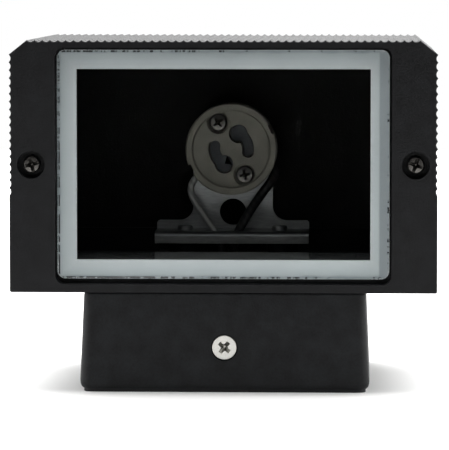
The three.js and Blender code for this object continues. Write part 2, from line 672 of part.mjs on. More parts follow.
// Assembly
function piece(name, shape, material) {
  const { numProp, vertProperties, triVerts } = shape.getMesh();
  const places = new THREE.InterleavedBuffer(vertProperties, numProp);
  const geometry = new THREE.BufferGeometry();
  geometry.setAttribute("position", new THREE.InterleavedBufferAttribute(places, 3, 0));
  geometry.setIndex(new THREE.BufferAttribute(triVerts, 1));
  geometry.computeVertexNormals();
  const mesh = new THREE.Mesh(geometry, material);
  mesh.name = name;
  return mesh;
}

const sideNames = [["left", -1], ["right", 1]];
const endNames = [["front", -1], ["rear", 1]];

const frontFrame = new THREE.Group();
frontFrame.add(
  piece("front_bezel", frontBezel(), blackCoat),
  piece("glass_pane", glassPane(), clearGlass),
  piece("glass_sealant", glassSealant(), greySilicone),
  piece("front_gasket", frontGasketRing(), blackRubber),
  ...sideNames.map(([name, side]) => piece(`bezel_screw_${name}`, bezelScrewAt(side), nickel)),
);

const lampholder = new THREE.Group();
lampholder.add(
  piece("lampholder_body", lampholderBody(), steatite),
  piece("lampholder_cap", lampholderCap(), steatite),
  piece("contact_left", contactAt(180), zincPlate),
  piece("contact_right", contactAt(0), zincPlate),
  piece("lampholder_screw_upper", lampholderScrewAt(0), nickel),
  piece("lampholder_screw_lower", lampholderScrewAt(180), nickel),
  piece("lampholder_bracket", lampholderBracket(), zincPlate),
  ...sideNames.map(([name, side]) => piece(`bracket_screw_${name}`, bracketScrewAt(side), zincPlate)),
);

const wiring = new THREE.Group();
wiring.add(
  piece("lead_white", leadAlong(whiteRoute, lead.white, 34), whiteSleeve),
  piece("lead_black", leadAlong(blackRoute, lead.black, 34), blackSleeve),
  piece("lead_earth", leadAlong(earthRoute, lead.earth, 16), earthSleeve),
  piece("lead_bush", leadBush(), blackRubber),
  piece("terminal_block", terminalBlock(), nylon),
  piece("terminal_block_screw", blockScrew(), zincPlate),
  ...[-1, 0, 1].map((k) => piece(`terminal_screw_${k + 2}`, terminalScrewAt(k * block.pitch), brass)),
  piece("earth_tag", earthTag(), brass),
  piece("earth_screw", earthScrew(), zincPlate),
);

const luminaire = new THREE.Group();
luminaire.add(
  piece("head_housing", headHousing(), blackCoat),
  piece("head_gasket", headGasketSheet(), blackRubber),
  piece("base_cover", baseCover(), blackCoat),
  piece("wall_gasket", wallGasketRing(), blackRubber),
  ...sideNames.flatMap(([name, side]) => [
    piece(`head_screw_front_${name}`, headScrewAt(side * headScrew.x, headScrew.front), zincPlate),
    piece(`head_screw_rear_${name}`, headScrewAt(side * headScrew.x, headScrew.back), zincPlate),
  ]),
  ...endNames.flatMap(([name, side]) => [
    piece(`base_screw_${name}`, baseScrewAt(side), stainless),
    piece(`base_nut_${name}`, baseNutAt(side), zincPlate),
  ]),
  lampholder,
  wiring,
  frontFrame,
);

const wallLight = new THREE.Group();
wallLight.add(
  piece("wall_bracket", wallBracketPlate(), zincPlate),
  piece("cable_bush", cableBushRing(), blackRubber),
  luminaire,
);

export default wallLight;
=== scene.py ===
import math
import bmesh
import bpy
from mathutils import Matrix, Vector


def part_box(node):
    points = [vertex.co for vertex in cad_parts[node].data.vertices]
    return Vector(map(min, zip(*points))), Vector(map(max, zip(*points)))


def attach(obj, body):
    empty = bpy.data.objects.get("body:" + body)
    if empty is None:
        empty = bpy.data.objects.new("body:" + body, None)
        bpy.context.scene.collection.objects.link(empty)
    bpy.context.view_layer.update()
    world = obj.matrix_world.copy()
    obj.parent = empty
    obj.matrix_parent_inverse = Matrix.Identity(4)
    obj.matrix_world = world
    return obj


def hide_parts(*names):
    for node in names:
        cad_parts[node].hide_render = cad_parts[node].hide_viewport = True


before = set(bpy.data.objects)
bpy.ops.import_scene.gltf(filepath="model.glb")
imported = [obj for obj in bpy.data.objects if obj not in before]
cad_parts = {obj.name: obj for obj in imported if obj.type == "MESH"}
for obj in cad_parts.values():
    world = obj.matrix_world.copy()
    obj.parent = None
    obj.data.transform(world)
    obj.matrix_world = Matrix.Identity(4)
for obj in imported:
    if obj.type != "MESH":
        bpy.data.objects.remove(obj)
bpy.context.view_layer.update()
scene = bpy.context.scene
mm = 0.001
sides = (("left", -1), ("right", 1))
print("frame loaded,", len(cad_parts), "nodes")


# shapes are modelled in millimetres and turned to metres when a piece is finished
def cadBox(node):
    low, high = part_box(node)
    return low / mm, high / mm


def cadMiddle(node):
    low, high = cadBox(node)
    return (low + high) / 2


def arc(cx, cy, radius, start, end, steps):
    angles = [math.radians(start + (end - start) * i / steps) for i in range(steps + 1)]
    return [(cx + radius * math.cos(a), cy + radius * math.sin(a)) for a in angles]


def roundedRectangle(x0, y0, x1, y1, radius, steps=6):
    return (arc(x1 - radius, y0 + radius, radius, -90, 0, steps)
            + arc(x1 - radius, y1 - radius, radius, 0, 90, steps)
            + arc(x0 + radius, y1 - radius, radius, 90, 180, steps)
            + arc(x0 + radius, y0 + radius, radius, 180, 270, steps))


def lofted(sections, axis="Y"):
    # outlines with the same number of points, each at its place along the axis, bridged in turn
    bm = bmesh.new()
    place = {"X": lambda a, b, along: (along, a, b), "Y": lambda a, b, along: (a, along, b),
             "Z": lambda a, b, along: (a, b, along)}[axis]
    loops, ends = [], []
    for outline, along in sections:
        verts = [bm.verts.new(place(a, b, along)) for a, b in outline]
        loops.append([bm.edges.new(pair) for pair in zip(verts, verts[1:] + verts[:1])])
        ends.append(verts)
    for one, two in zip(loops, loops[1:]):
        bmesh.ops.bridge_loops(bm, edges=one + two)
    for verts in (ends[0], ends[-1]):
        bm.faces.new(verts)
    bmesh.ops.recalc_face_normals(bm, faces=bm.faces)
    return bm


def prism(outline, low, high, axis="Y"):
    return lofted([(outline, low), (outline, high)], axis)


def block(low, high):
    bm = bmesh.new()
    bmesh.ops.create_cube(bm, size=1)
    low, high = Vector(low), Vector(high)
    bmesh.ops.scale(bm, vec=high - low, verts=bm.verts)
    bmesh.ops.translate(bm, vec=(low + high) / 2, verts=bm.verts)
    return bm


def turned(profile, centre, axis="Y", steps=48):
    # profile points are (radius, place along the axis)
    bm = bmesh.new()
    a, b = centre
    if axis == "Y":
        verts = [bm.verts.new((a + radius, along, b)) for radius, along in profile]
        spinAxis, middle = (0, 1, 0), (a, 0, b)
    else:
        verts = [bm.verts.new((a + radius, b, along)) for radius, along in profile]
        spinAxis, middle = (0, 0, 1), (a, b, 0)
    edges = [bm.edges.new(pair) for pair in zip(verts, verts[1:])]
    bmesh.ops.spin(bm, geom=verts + edges, cent=middle, axis=spinAxis, angle=2 * math.pi,
                   steps=steps, use_merge=True)
    bmesh.ops.remove_doubles(bm, verts=bm.verts, dist=1e-4)
    bmesh.ops.recalc_face_normals(bm, faces=bm.faces)
    return bm


def rod(radius, low, high, centre, axis="Y", steps=40, chamfer=0.0):
    c = chamfer
    profile = [(0, low), (radius - c, low), (radius, low + c), (radius, high - c), (radius - c, high), (0, high)]
    return turned(profile, centre, axis, steps)


def looseObject(bm, name):
    mesh = bpy.data.meshes.new(name)
    bm.to_mesh(mesh)
    bm.free()
    loose = bpy.data.objects.new(name, mesh)
    scene.collection.objects.link(loose)
    return loose


def combine(bm, tools, operation="DIFFERENCE"):
    # cuts the tools away, or joins them on, one after another
    body = looseObject(bm, "work")
    others = [looseObject(tool, "tool") for tool in tools]
    for other in others:
        step = body.modifiers.new("step", "BOOLEAN")
        step.operation, step.solver, step.object = operation, "EXACT", other
    made = bmesh.new()
    made.from_object(body, bpy.context.evaluated_depsgraph_get())
    for thing in [body, *others]:
        mesh = thing.data
        bpy.data.objects.remove(thing)
        bpy.data.meshes.remove(mesh)
    bmesh.ops.remove_doubles(made, verts=made.verts, dist=1e-4)
    bmesh.ops.dissolve_limit(made, angle_limit=math.radians(0.5), verts=made.verts, edges=made.edges)
    return made


def soften(bm, width, segments=2, angle=60):
    sharp = math.radians(angle)
    edges = [e for e in bm.edges if len(e.link_faces) == 2 and e.calc_face_angle(0) > sharp]
    bmesh.ops.bevel(bm, geom=edges, offset=width, offset_type="OFFSET", affect="EDGES", segments=segments,
                    profile=0.5, material=-1, clamp_overlap=True)
    return bm


def finishPiece(bm, name, material, body, nodes=(), sharp=32):
    bmesh.ops.remove_doubles(bm, verts=bm.verts, dist=1e-4)
    bmesh.ops.recalc_face_normals(bm, faces=bm.faces)
    bmesh.ops.scale(bm, vec=(mm, mm, mm), verts=bm.verts)
    piece = looseObject(bm, name)
    piece.data.materials.append(material)
    piece.data.shade_smooth()
    piece.data.set_sharp_from_angle(angle=math.radians(sharp))
    flat = piece.modifiers.new("flatFaces", "WEIGHTED_NORMAL")
    flat.keep_sharp, flat.weight = True, 80
    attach(piece, body)
    if nodes:
        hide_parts(*nodes)
    return piece


# materials
def srgb(colour, alpha=1.0):
    channels = [int(colour[i:i + 2], 16) / 255 for i in (1, 3, 5)]
    linear = [c / 12.92 if c <= 0.04045 else ((c + 0.055) / 1.055) ** 2.4 for c in channels]
    return (*linear, alpha)


def addNode(tree, kind, inputs=None, stops=None, **settings):
    # inputs that are sockets become links, and stops set a colour ramp
    node = tree.nodes.new("ShaderNode" + kind)
    for name, value in settings.items():
        setattr(node, name, value)
    for key, value in (inputs or {}).items():
        if isinstance(value, bpy.types.NodeSocket):
            tree.links.new(value, node.inputs[key])
        else:
            node.inputs[key].default_value = value
    for i, (position, colour) in enumerate(stops or ()):
        element = node.color_ramp.elements[i] if i < 2 else node.color_ramp.elements.new(position)
        element.position, element.color = position, srgb(colour)
    return node


def newMaterial(name, **sockets):
    material = bpy.data.materials.new(name)
    material.use_nodes = True
    tree = material.node_tree
    tree.nodes.clear()
    shader = addNode(tree, "BsdfPrincipled", sockets)
    addNode(tree, "OutputMaterial", {"Surface": shader.outputs[0]})
    return material, tree, shader, addNode(tree, "TexCoord").outputs["Object"]


def grains(size):
    # the noise scale that gives a grain of this many millimetres
    return 1 / (size * mm)


powderValues = {"light": "#131416", "dark": "#040405", "grain": 0.55, "mottle": 5.0, "depth": 0.1,
                "smooth": 0.36, "rough": 0.66, "level": 0.18}


floorLightValues = {"light": "#8c8d8e", "dark": "#7c7d7e", "grain": 0.6, "mottle": 12.0, "depth": 0.004,
                "smooth": 0.08, "rough": 0.16, "level": 0.5}


def makePowderCoat(name, v):
    # a coat baked on cast aluminium, broken up by a fine orange-peel grain
    material, tree, shader, place = newMaterial(name, **{"IOR": 1.5, "Specular IOR Level": v["level"]})
    grain = addNode(tree, "TexNoise", {"Vector": place, "Scale": grains(v["grain"]), "Detail": 4.0,
                                       "Roughness": 0.6}).outputs["Fac"]
    mottle = addNode(tree, "TexNoise", {"Vector": place, "Scale": grains(v["mottle"]), "Detail": 3.0}).outputs["Fac"]
    both = addNode(tree, "Mix", {"Factor": 0.45, "A": grain, "B": mottle}).outputs[0]
    colour = addNode(tree, "ValToRGB", {"Fac": both}, stops=[(0.36, v["dark"]), (0.66, v["light"])])
    rough = addNode(tree, "MapRange", {"Value": grain, "From Min": 0.3, "From Max": 0.7,
                                       "To Min": v["smooth"], "To Max": v["rough"]})
    bump = addNode(tree, "Bump", {"Height": grain, "Distance": v["depth"] * mm, "Strength": 0.7})
    tree.links.new(colour.outputs[0], shader.inputs["Base Color"])
    tree.links.new(rough.outputs[0], shader.inputs["Roughness"])
    tree.links.new(bump.outputs[0], shader.inputs["Normal"])
    return material


glassValues = {"tint": "#fafcfc", "rough": 0.0}


def makeFloatGlass():
    # clear float glass with polished edges: a faint green tint and a hard clean gloss
    v = glassValues
    material, tree, shader, place = newMaterial(
        "clearFloatGlass", **{"Base Color": srgb(v["tint"]), "Roughness": v["rough"], "IOR": 1.52,
                              "Transmission Weight": 1.0})
    # lamps shine straight through the pane
    lampRay = addNode(tree, "LightPath").outputs["Is Shadow Ray"]
    clear = addNode(tree, "BsdfTransparent", {"Color": srgb(v["tint"])})
    both = addNode(tree, "MixShader", {0: lampRay, 1: shader.outputs[0], 2: clear.outputs[0]})
    output = next(node for node in tree.nodes if node.type == "OUTPUT_MATERIAL")
    tree.links.new(both.outputs[0], output.inputs["Surface"])
    return material


siliconeValues = {"inner": "#c9cdce", "middle": "#bec4c6", "outer": "#b2b8ba", "rim": "#8b9396", "gap": "#1b1d20",
                  "right": "#979da0", "mottle": 6.0, "voidGrain": 1.0, "voidPlace": 0.42, "voidHalf": 0.24,
                  "voidShare": 0.5}


def makeSilicone(window, glass):
    # neutral-cure silicone squeezed flat under the glass: smooth pale grey, painted darker outwards as shade,
    # with a broken dark line of voids just inside the edge of the glass
    v = siliconeValues
    material, tree, shader, place = newMaterial("greySilicone", Roughness=0.42, IOR=1.41)
    across = addNode(tree, "SeparateXYZ", {"Vector": place})

    def outside(axis, low, high):
        # how far a point lies outside the middle of the window on one axis
        shifted = addNode(tree, "Math", {0: across.outputs[axis], 1: (low + high) / 2 * mm}, operation="SUBTRACT")
        size = addNode(tree, "Math", {0: shifted.outputs[0]}, operation="ABSOLUTE")
        return addNode(tree, "Math", {0: size.outputs[0], 1: (high - low) / 2 * mm}, operation="SUBTRACT").outputs[0]

    x0, x1, z0, z1 = window
    outward = addNode(tree, "Math", {0: outside("X", x0, x1), 1: outside("Z", z0, z1)}, operation="MAXIMUM")
    width = (glass[1] - x1) * mm
    mottle = addNode(tree, "TexNoise", {"Vector": place, "Scale": grains(v["mottle"]), "Detail": 2.0}).outputs["Fac"]
    wavy = addNode(tree, "MapRange", {"Value": mottle, "To Min": -0.1, "To Max": 0.1})
    share = addNode(tree, "Math", {0: outward.outputs[0], 1: 1 / width, 2: wavy.outputs[0]},
                    operation="MULTIPLY_ADD").outputs[0]
    # the ramp darkens towards the outer edge as painted shade from the recess walls
    bead = addNode(tree, "ValToRGB", {"Fac": share}, stops=[(0.0, v["inner"]), (0.95, v["rim"]), (0.45, v["middle"]),
                                                          (0.8, v["outer"])]).outputs[0]
    # on the right the outer half of the bed is painted darker, as shade from the recess wall
    sideways = outside("X", x0, x1)
    outerHalf = addNode(tree, "MapRange", {"Value": sideways, "From Min": 0.42 * width, "From Max": 0.52 * width})
    rightHand = addNode(tree, "Math", {0: across.outputs["X"], 1: 0.0}, operation="GREATER_THAN").outputs[0]
    paintedRightShade = addNode(tree, "Math", {0: outerHalf.outputs[0], 1: rightHand}, operation="MULTIPLY").outputs[0]
    bead = addNode(tree, "Mix", {"Factor": paintedRightShade, "A": bead, "B": srgb(v["right"])}, data_type="RGBA").outputs[2]
    fromLine = addNode(tree, "Math", {0: outward.outputs[0], 1: width - v["voidPlace"] * mm}, operation="SUBTRACT")
    offLine = addNode(tree, "Math", {0: fromLine.outputs[0]}, operation="ABSOLUTE")
    onLine = addNode(tree, "MapRange", {"Value": offLine.outputs[0], "From Min": v["voidHalf"] * mm,
                                        "From Max": 0.4 * v["voidHalf"] * mm}).outputs[0]
    holes = addNode(tree, "TexNoise", {"Vector": place, "Scale": grains(v["voidGrain"]), "Detail": 3.0}).outputs["Fac"]
    # the left and bottom of the bed were squeezed least, so the voids sit there
    leftward = addNode(tree, "MapRange", {"Value": across.outputs["X"], "From Min": -0.03, "From Max": 0.03,
                                          "To Min": 0.07, "To Max": -0.1}).outputs[0]
    upward = addNode(tree, "MapRange", {"Value": across.outputs["Z"], "From Min": 0.04, "From Max": 0.09,
                                        "To Min": 0.02, "To Max": -0.06}).outputs[0]
    lean = addNode(tree, "Math", {0: leftward, 1: upward}, operation="ADD").outputs[0]
    leaning = addNode(tree, "Math", {0: holes, 1: lean}, operation="ADD").outputs[0]
    open = addNode(tree, "MapRange", {"Value": leaning, "From Min": v["voidShare"] - 0.02,
                                      "From Max": v["voidShare"] + 0.04}).outputs[0]
    void = addNode(tree, "Math", {0: onLine, 1: open}, operation="MULTIPLY").outputs[0]
    colour = addNode(tree, "Mix", {"Factor": void, "A": bead, "B": srgb(v["gap"])}, data_type="RGBA")
    tree.links.new(colour.outputs[2], shader.inputs["Base Color"])
    bump = addNode(tree, "Bump", {"Height": mottle, "Distance": 0.15 * mm, "Strength": 0.5})
    tree.links.new(bump.outputs[0], shader.inputs["Normal"])
    return material


rubberValues = {"light": "#1e1f21", "dark": "#101113", "grain": 0.3, "depth": 0.03}


def makeRubber():
    # moulded EPDM rubber: dull black with a fine bloom
    v = rubberValues
    material, tree, shader, place = newMaterial("mouldedRubber", Roughness=0.78, IOR=1.5)
    bloom = addNode(tree, "TexNoise", {"Vector": place, "Scale": grains(v["grain"]), "Detail": 3.0}).outputs["Fac"]
    colour = addNode(tree, "ValToRGB", {"Fac": bloom}, stops=[(0.3, v["dark"]), (0.75, v["light"])])
    bump = addNode(tree, "Bump", {"Height": bloom, "Distance": v["depth"] * mm, "Strength": 0.5})
    tree.links.new(colour.outputs[0], shader.inputs["Base Color"])
    tree.links.new(bump.outputs[0], shader.inputs["Normal"])
    return material


def makeMetal(name, light, dark, smooth, rough, grain=0.3, stretch=(1, 1, 1), depth=0.004):
    # bare and plated metals differ in colour, gloss, and the run of their working lines
    material, tree, shader, place = newMaterial(name, Metallic=1.0)
    run = addNode(tree, "Mapping", {"Vector": place, "Scale": stretch}).outputs[0]
    lines = addNode(tree, "TexNoise", {"Vector": run, "Scale": grains(grain), "Detail": 3.0,
                                       "Roughness": 0.6}).outputs["Fac"]
    colour = addNode(tree, "ValToRGB", {"Fac": lines}, stops=[(0.3, dark), (0.7, light)])
    roughness = addNode(tree, "MapRange", {"Value": lines, "From Min": 0.3, "From Max": 0.7,
                                           "To Min": smooth, "To Max": rough})
    bump = addNode(tree, "Bump", {"Height": lines, "Distance": depth * mm, "Strength": 0.6})
    tree.links.new(colour.outputs[0], shader.inputs["Base Color"])
    tree.links.new(roughness.outputs[0], shader.inputs["Roughness"])
    tree.links.new(bump.outputs[0], shader.inputs["Normal"])
    return material


shadedSteatiteValues = {"light": "#8f8b7e", "dark": "#7b776b", "cloud": 6.0, "pit": 0.25, "depth": 0.04}


def makeSteatite():
    # pressed and fired steatite, unglazed: dry and chalky, with tiny pits; its cream is painted down to a dim
    # grey-beige as shade inside the head
    v = shadedSteatiteValues
    material, tree, shader, place = newMaterial("firedSteatitePaintedShade", Roughness=0.55, IOR=1.6)
    cloud = addNode(tree, "TexNoise", {"Vector": place, "Scale": grains(v["cloud"]), "Detail": 3.0}).outputs["Fac"]
    pits = addNode(tree, "TexNoise", {"Vector": place, "Scale": grains(v["pit"]), "Detail": 2.0}).outputs["Fac"]
    colour = addNode(tree, "ValToRGB", {"Fac": cloud}, stops=[(0.3, v["dark"]), (0.7, v["light"])])
    bump = addNode(tree, "Bump", {"Height": pits, "Distance": v["depth"] * mm, "Strength": 0.5})
    tree.links.new(colour.outputs[0], shader.inputs["Base Color"])
    tree.links.new(bump.outputs[0], shader.inputs["Normal"])
    return material


nylonValues = {"light": "#e9e6dd", "dark": "#dedbd0", "cloud": 5.0, "grain": 0.4}


def makeNylon():
    # injection-moulded natural polyamide: milky white and slightly waxy
    v = nylonValues
    material, tree, shader, place = newMaterial(
        "mouldedNylon", **{"Roughness": 0.42, "IOR": 1.53, "Subsurface Weight": 0.15, "Subsurface Scale": 0.002})
    cloud = addNode(tree, "TexNoise", {"Vector": place, "Scale": grains(v["cloud"])}).outputs["Fac"]
    skin = addNode(tree, "TexNoise", {"Vector": place, "Scale": grains(v["grain"])}).outputs["Fac"]
    colour = addNode(tree, "ValToRGB", {"Fac": cloud}, stops=[(0.3, v["dark"]), (0.7, v["light"])])
    bump = addNode(tree, "Bump", {"Height": skin, "Distance": 0.015 * mm, "Strength": 0.4})
    tree.links.new(colour.outputs[0], shader.inputs["Base Color"])
    tree.links.new(bump.outputs[0], shader.inputs["Normal"])
    return material


braidValues = {"pitch": 0.9, "depth": 0.06, "end": 40.6}


def makeSleeve(name, light, dark, paintedShadeBelow=None):
    # braided glass-fibre sleeve with a silicone coat: fine slanting ribs under a soft gloss
    v = braidValues
    material, tree, shader, place = newMaterial(name, Roughness=0.5, IOR=1.45)
    slanted = addNode(tree, "Mapping", {"Vector": place, "Rotation": (0.6, 0.5, 0.4)}).outputs[0]
    # a wave's scale is 1 / (2 pi) of its count in a metre
    braid = addNode(tree, "TexWave", {"Vector": slanted, "Scale": grains(v["pitch"]) / 6.28, "Distortion": 1.5,
                                      "Detail": 2.0}, wave_type="BANDS").outputs["Fac"]
    colour = addNode(tree, "ValToRGB", {"Fac": braid}, stops=[(0.2, dark), (0.8, light)]).outputs[0]
    if paintedShadeBelow:
        # under the shelf the braid gives way to painted shade, a dark colour for the shadow there
        height = addNode(tree, "SeparateXYZ", {"Vector": place}).outputs["Z"]
        underShelfShade = addNode(tree, "Math", {0: height, 1: v["end"] * mm}, operation="LESS_THAN").outputs[0]
        colour = addNode(tree, "Mix", {"Factor": underShelfShade, "A": colour, "B": srgb(paintedShadeBelow)}, data_type="RGBA").outputs[2]
    bump = addNode(tree, "Bump", {"Height": braid, "Distance": v["depth"] * mm, "Strength": 0.5})
    tree.links.new(colour, shader.inputs["Base Color"])
    tree.links.new(bump.outputs[0], shader.inputs["Normal"])
    return material


headLow, headHigh = cadBox("front_bezel")
glassLow, glassHigh = cadBox("glass_pane")
sealantWindow = (-41.25, 41.25, 38.3, 91.9)
# polyester powder coat, fine texture: satin black with a grain that breaks up its gloss
powderCoat = makePowderCoat("blackPowderCoat", powderValues)
# the same coat painted a little lighter on the base, standing in for the light it gets from the floor
baseCoatPaintedLight = makePowderCoat("powderCoatPaintedLighter", {**powderValues, "light": "#1e2022", "dark": "#0b0b0c"})
floatGlass = makeFloatGlass()
silicone = makeSilicone(sealantWindow, (glassLow.x, glassHigh.x))
rubber = makeRubber()
# electroplated black nickel on steel: dark, with a faintly warm gleam; on the lampholder screws the same dark is
# painted shade for their deep bores
blackNickelAndShade = makeMetal("blackPlatedNickelAndShade", "#6a6865", "#52504d", 0.28, 0.42)
# turned and tumbled A2 stainless steel: bright, satin and nearly neutral
stainless = makeMetal("tumbledStainless", "#d3d2cd", "#c3c2bd", 0.3, 0.42, 0.25)
# bright zinc plate on pressed steel: bluish grey, with faint rolling lines along X
zincPlate = makeMetal("zincPlatedSteel", "#b3b4b4", "#979898", 0.32, 0.48, 0.5, (0.15, 1, 1), 0.006)
# drawn brass: yellow and fairly smooth
brass = makeMetal("drawnBrass", "#c9ad68", "#ad9150", 0.25, 0.4)
# nickel on spring steel, painted dark grey as shade deep in the holder's slots, and rough
shadedNickel = makeMetal("nickelPlatePaintedShade", "#595b5d", "#444648", 0.5, 0.65, 0.6)
# a smooth grey strip, glossy at a low angle, painted pale as light and reflection on the front of the floor
floorPaintedLight = makePowderCoat("floorStripPaintedLight", floorLightValues)
shadedSteatite = makeSteatite()
nylon = makeNylon()
# the white lead is painted dark below the shelf, as shade
whiteSleeve = makeSleeve("whiteGlassFibreSleeve", "#c4c4c0", "#9d9d9a", "#1d1d20")
blackSleeve = makeSleeve("blackGlassFibreSleeve", "#2a2a2c", "#17171a")
earthSleeve = makeSleeve("greenYellowSleeve", "#c9c23e", "#2f7a35")
print("materials made")


# the head: bezel and housing share one fluted outline
headValues = {"pitch": 2.2, "depth": 0.45, "land": 0.08, "steps": 7, "onTop": 50, "onSide": 18,
              "chamferX": 5.0, "chamferZ": 4.0, "corner": 0.5, "rim": 0.22}


def fluteRow(start, along, count, inset):
    # concave flutes, hollowed to the right of the way they run, with a narrow land on each ridge
    v = headValues
    half = v["pitch"] / 2 - v["land"]
    radius = (half ** 2 + v["depth"] ** 2) / (2 * v["depth"])
    hollow = Vector((along.y, -along.x))
    points = []
    for i in range(count):
        for k in range(v["steps"] + 1):
            across = (2 * k / v["steps"] - 1) * half
            drop = math.sqrt((radius + inset) ** 2 - across ** 2) - (radius - v["depth"])
            points.append(start + along * ((i + 0.5) * v["pitch"] + across) + hollow * drop)
    return [tuple(p) for p in points]


def headOutline(inset):
    v = headValues
    half, low, high = headHigh.x, headLow.z + inset, headHigh.z
    shoulder = high - v["chamferZ"]
    sideStart = shoulder - v["onSide"] * v["pitch"]
    r = v["corner"]
    left = arc(-half + inset + r, low + r, r, -90, -180, 3)
    left += fluteRow(Vector((-half, sideStart)), Vector((0, 1)), v["onSide"], inset)
    left += [(-half + inset, shoulder - 0.35 * inset)]
    top = [(-half + v["chamferX"] + 0.35 * inset, high - inset)]
    top += fluteRow(Vector((-half + v["chamferX"], high)), Vector((1, 0)), v["onTop"], inset)
    return left + top + [(half - v["chamferX"] - 0.35 * inset, high - inset)] + [(-x, z) for x, z in reversed(left)]


def flutedBar(front, back):
    # a length of the head's section, with a small chamfer round both ends
    rim = headValues["rim"]
    whole, drawnIn = headOutline(0), headOutline(rim)
    return lofted([(drawnIn, front), (whole, front + rim), (whole, back - rim), (drawnIn, back)])


bezelValues = {"rebate": 4.5, "recess": (47.2, 31.5, 97.85, 2.6), "window": (41.5, 38.0, 92.2),
               "bore": 3.9, "boreDepth": 3.6, "hole": 1.7, "edge": 0.18}


def makeBezel():
    v = bezelValues
    front, back = headLow.y, headHigh.y
    x, low, high, radius = v["recess"]
    windowX, windowLow, windowHigh = v["window"]
    tools = [prism(roundedRectangle(-x, low, x, high, radius, 10), front - 1, front + v["rebate"]),
             block((-windowX, front, windowLow), (windowX, back + 1, windowHigh))]
    for side, sign in sides:
        screw = cadMiddle("bezel_screw_" + side)
        tools.append(rod(v["bore"], front - 1, front + v["boreDepth"], (screw.x, screw.z), steps=64))
        tools.append(rod(v["hole"], front, back + 1, (screw.x, screw.z)))
    bm = soften(combine(flutedBar(front, back), tools), v["edge"], 2, 70)
    finishPiece(bm, "bezel", powderCoat, "front_frame", ["front_bezel"])


housingValues = {"wall": 3.2, "floor": 33.5, "roof": 96.4, "backWall": 45.0, "ledge": (43.8, 40.7), "step": (-1.0, 36.9),
                 "rib": (49.9, 61.1, 69.1), "pad": (23, 12, 40, 34.3), "shelfBoss": (14.2, 20, 4, 40.5),
                 "screwBoss": (3.8, 36.9), "bush": 4.9, "shelfHole": 1.6, "screwHole": 2.3, "bezelHole": (1.8, 15)}


def cavityOutline():
    v = housingValues
    half = headHigh.x - v["wall"]
    rib, low, high = v["rib"]
    side = [(half, v["floor"]), (half, low - 1)] + arc(half - 1, low - 1, 1, 0, 90, 4)
    side += arc(rib + 1, low + 1, 1, -90, -180, 4) + arc(rib + 1, high - 1, 1, 180, 90, 4)
    side += arc(half - 1, high + 1, 1, -90, 0, 4) + arc(half - 2, v["roof"] - 2, 2, 0, 90, 5)
    return side + [(-x, z) for x, z in reversed(side)]


def headScrewPlaces():
    return [cadMiddle(f"head_screw_{row}_{side}") for row in ("front", "rear") for side, sign in sides]


def makeHousing():
    v = housingValues
    low, high = cadBox("head_housing")
    half, under = headHigh.x - v["wall"], v["floor"] - 0.6
    bm = combine(flutedBar(low.y, high.y), [prism(cavityOutline(), low.y - 1, v["backWall"])])
    soften(bm, 0.25, 2, 70)
    ledgeFront, ledgeTop = v["ledge"]
    padX, padFront, padBack, padTop = v["pad"]
    bossX, bossY, bossRadius, bossTop = v["shelfBoss"]
    screwRadius, screwTop = v["screwBoss"]
    holeRadius, holeDepth = v["bezelHole"]
    bush = cadMiddle("lead_bush")
    stepBack, stepTop = v["step"]
    added = [soften(block((-half - 0.6, ledgeFront, under), (half + 0.6, v["backWall"] + 0.6, ledgeTop)), 0.3),
             soften(block((-half - 0.6, low.y + 0.02, under), (half + 0.6, stepBack, stepTop - 0.02)), 0.2),
             soften(block((-padX, padFront, under), (padX, padBack, padTop)), 0.2)]
    added += [rod(bossRadius, under, bossTop, (sign * bossX, bossY), "Z", 40, 0.3) for side, sign in sides]
    added += [rod(screwRadius, under, screwTop, (p.x, p.y), "Z", 40, 0.4) for p in headScrewPlaces()]
    bm = combine(bm, added, "UNION")
    holes = [rod(v["bush"], low.z - 1, padTop + 1, (bush.x, bush.y), "Z")]
    holes += [rod(v["shelfHole"], v["floor"] + 1, bossTop + 1, (sign * bossX, bossY), "Z", 24) for side, sign in sides]
    holes += [rod(v["screwHole"], low.z - 1, screwTop - 1.5, (p.x, p.y), "Z", 24) for p in headScrewPlaces()]
    for side, sign in sides:
        screw = cadMiddle("bezel_screw_" + side)
        holes.append(rod(holeRadius, low.y - 1, low.y + holeDepth, (screw.x, screw.z), "Y", 24))
    finishPiece(combine(bm, holes), "housing", powderCoat, "luminaire", ["head_housing"])
    # a smooth grey strip on the front of the floor, painted pale as the light and reflection that fall there
    strip = soften(block((-half + 0.1, low.y + 0.3, stepTop - 0.3), (half - 0.1, stepBack - 0.3, stepTop)), 0.1)
    finishPiece(strip, "floorPaintedLight", floorPaintedLight, "luminaire")


makeBezel()
makeHousing()
print("head made")


# glazing, and the gasket between frame and head
glazingValues = {"radius": 2.3, "arris": 0.35, "inset": 0.05, "bedEdge": 0.15, "gasketInset": 0.9}


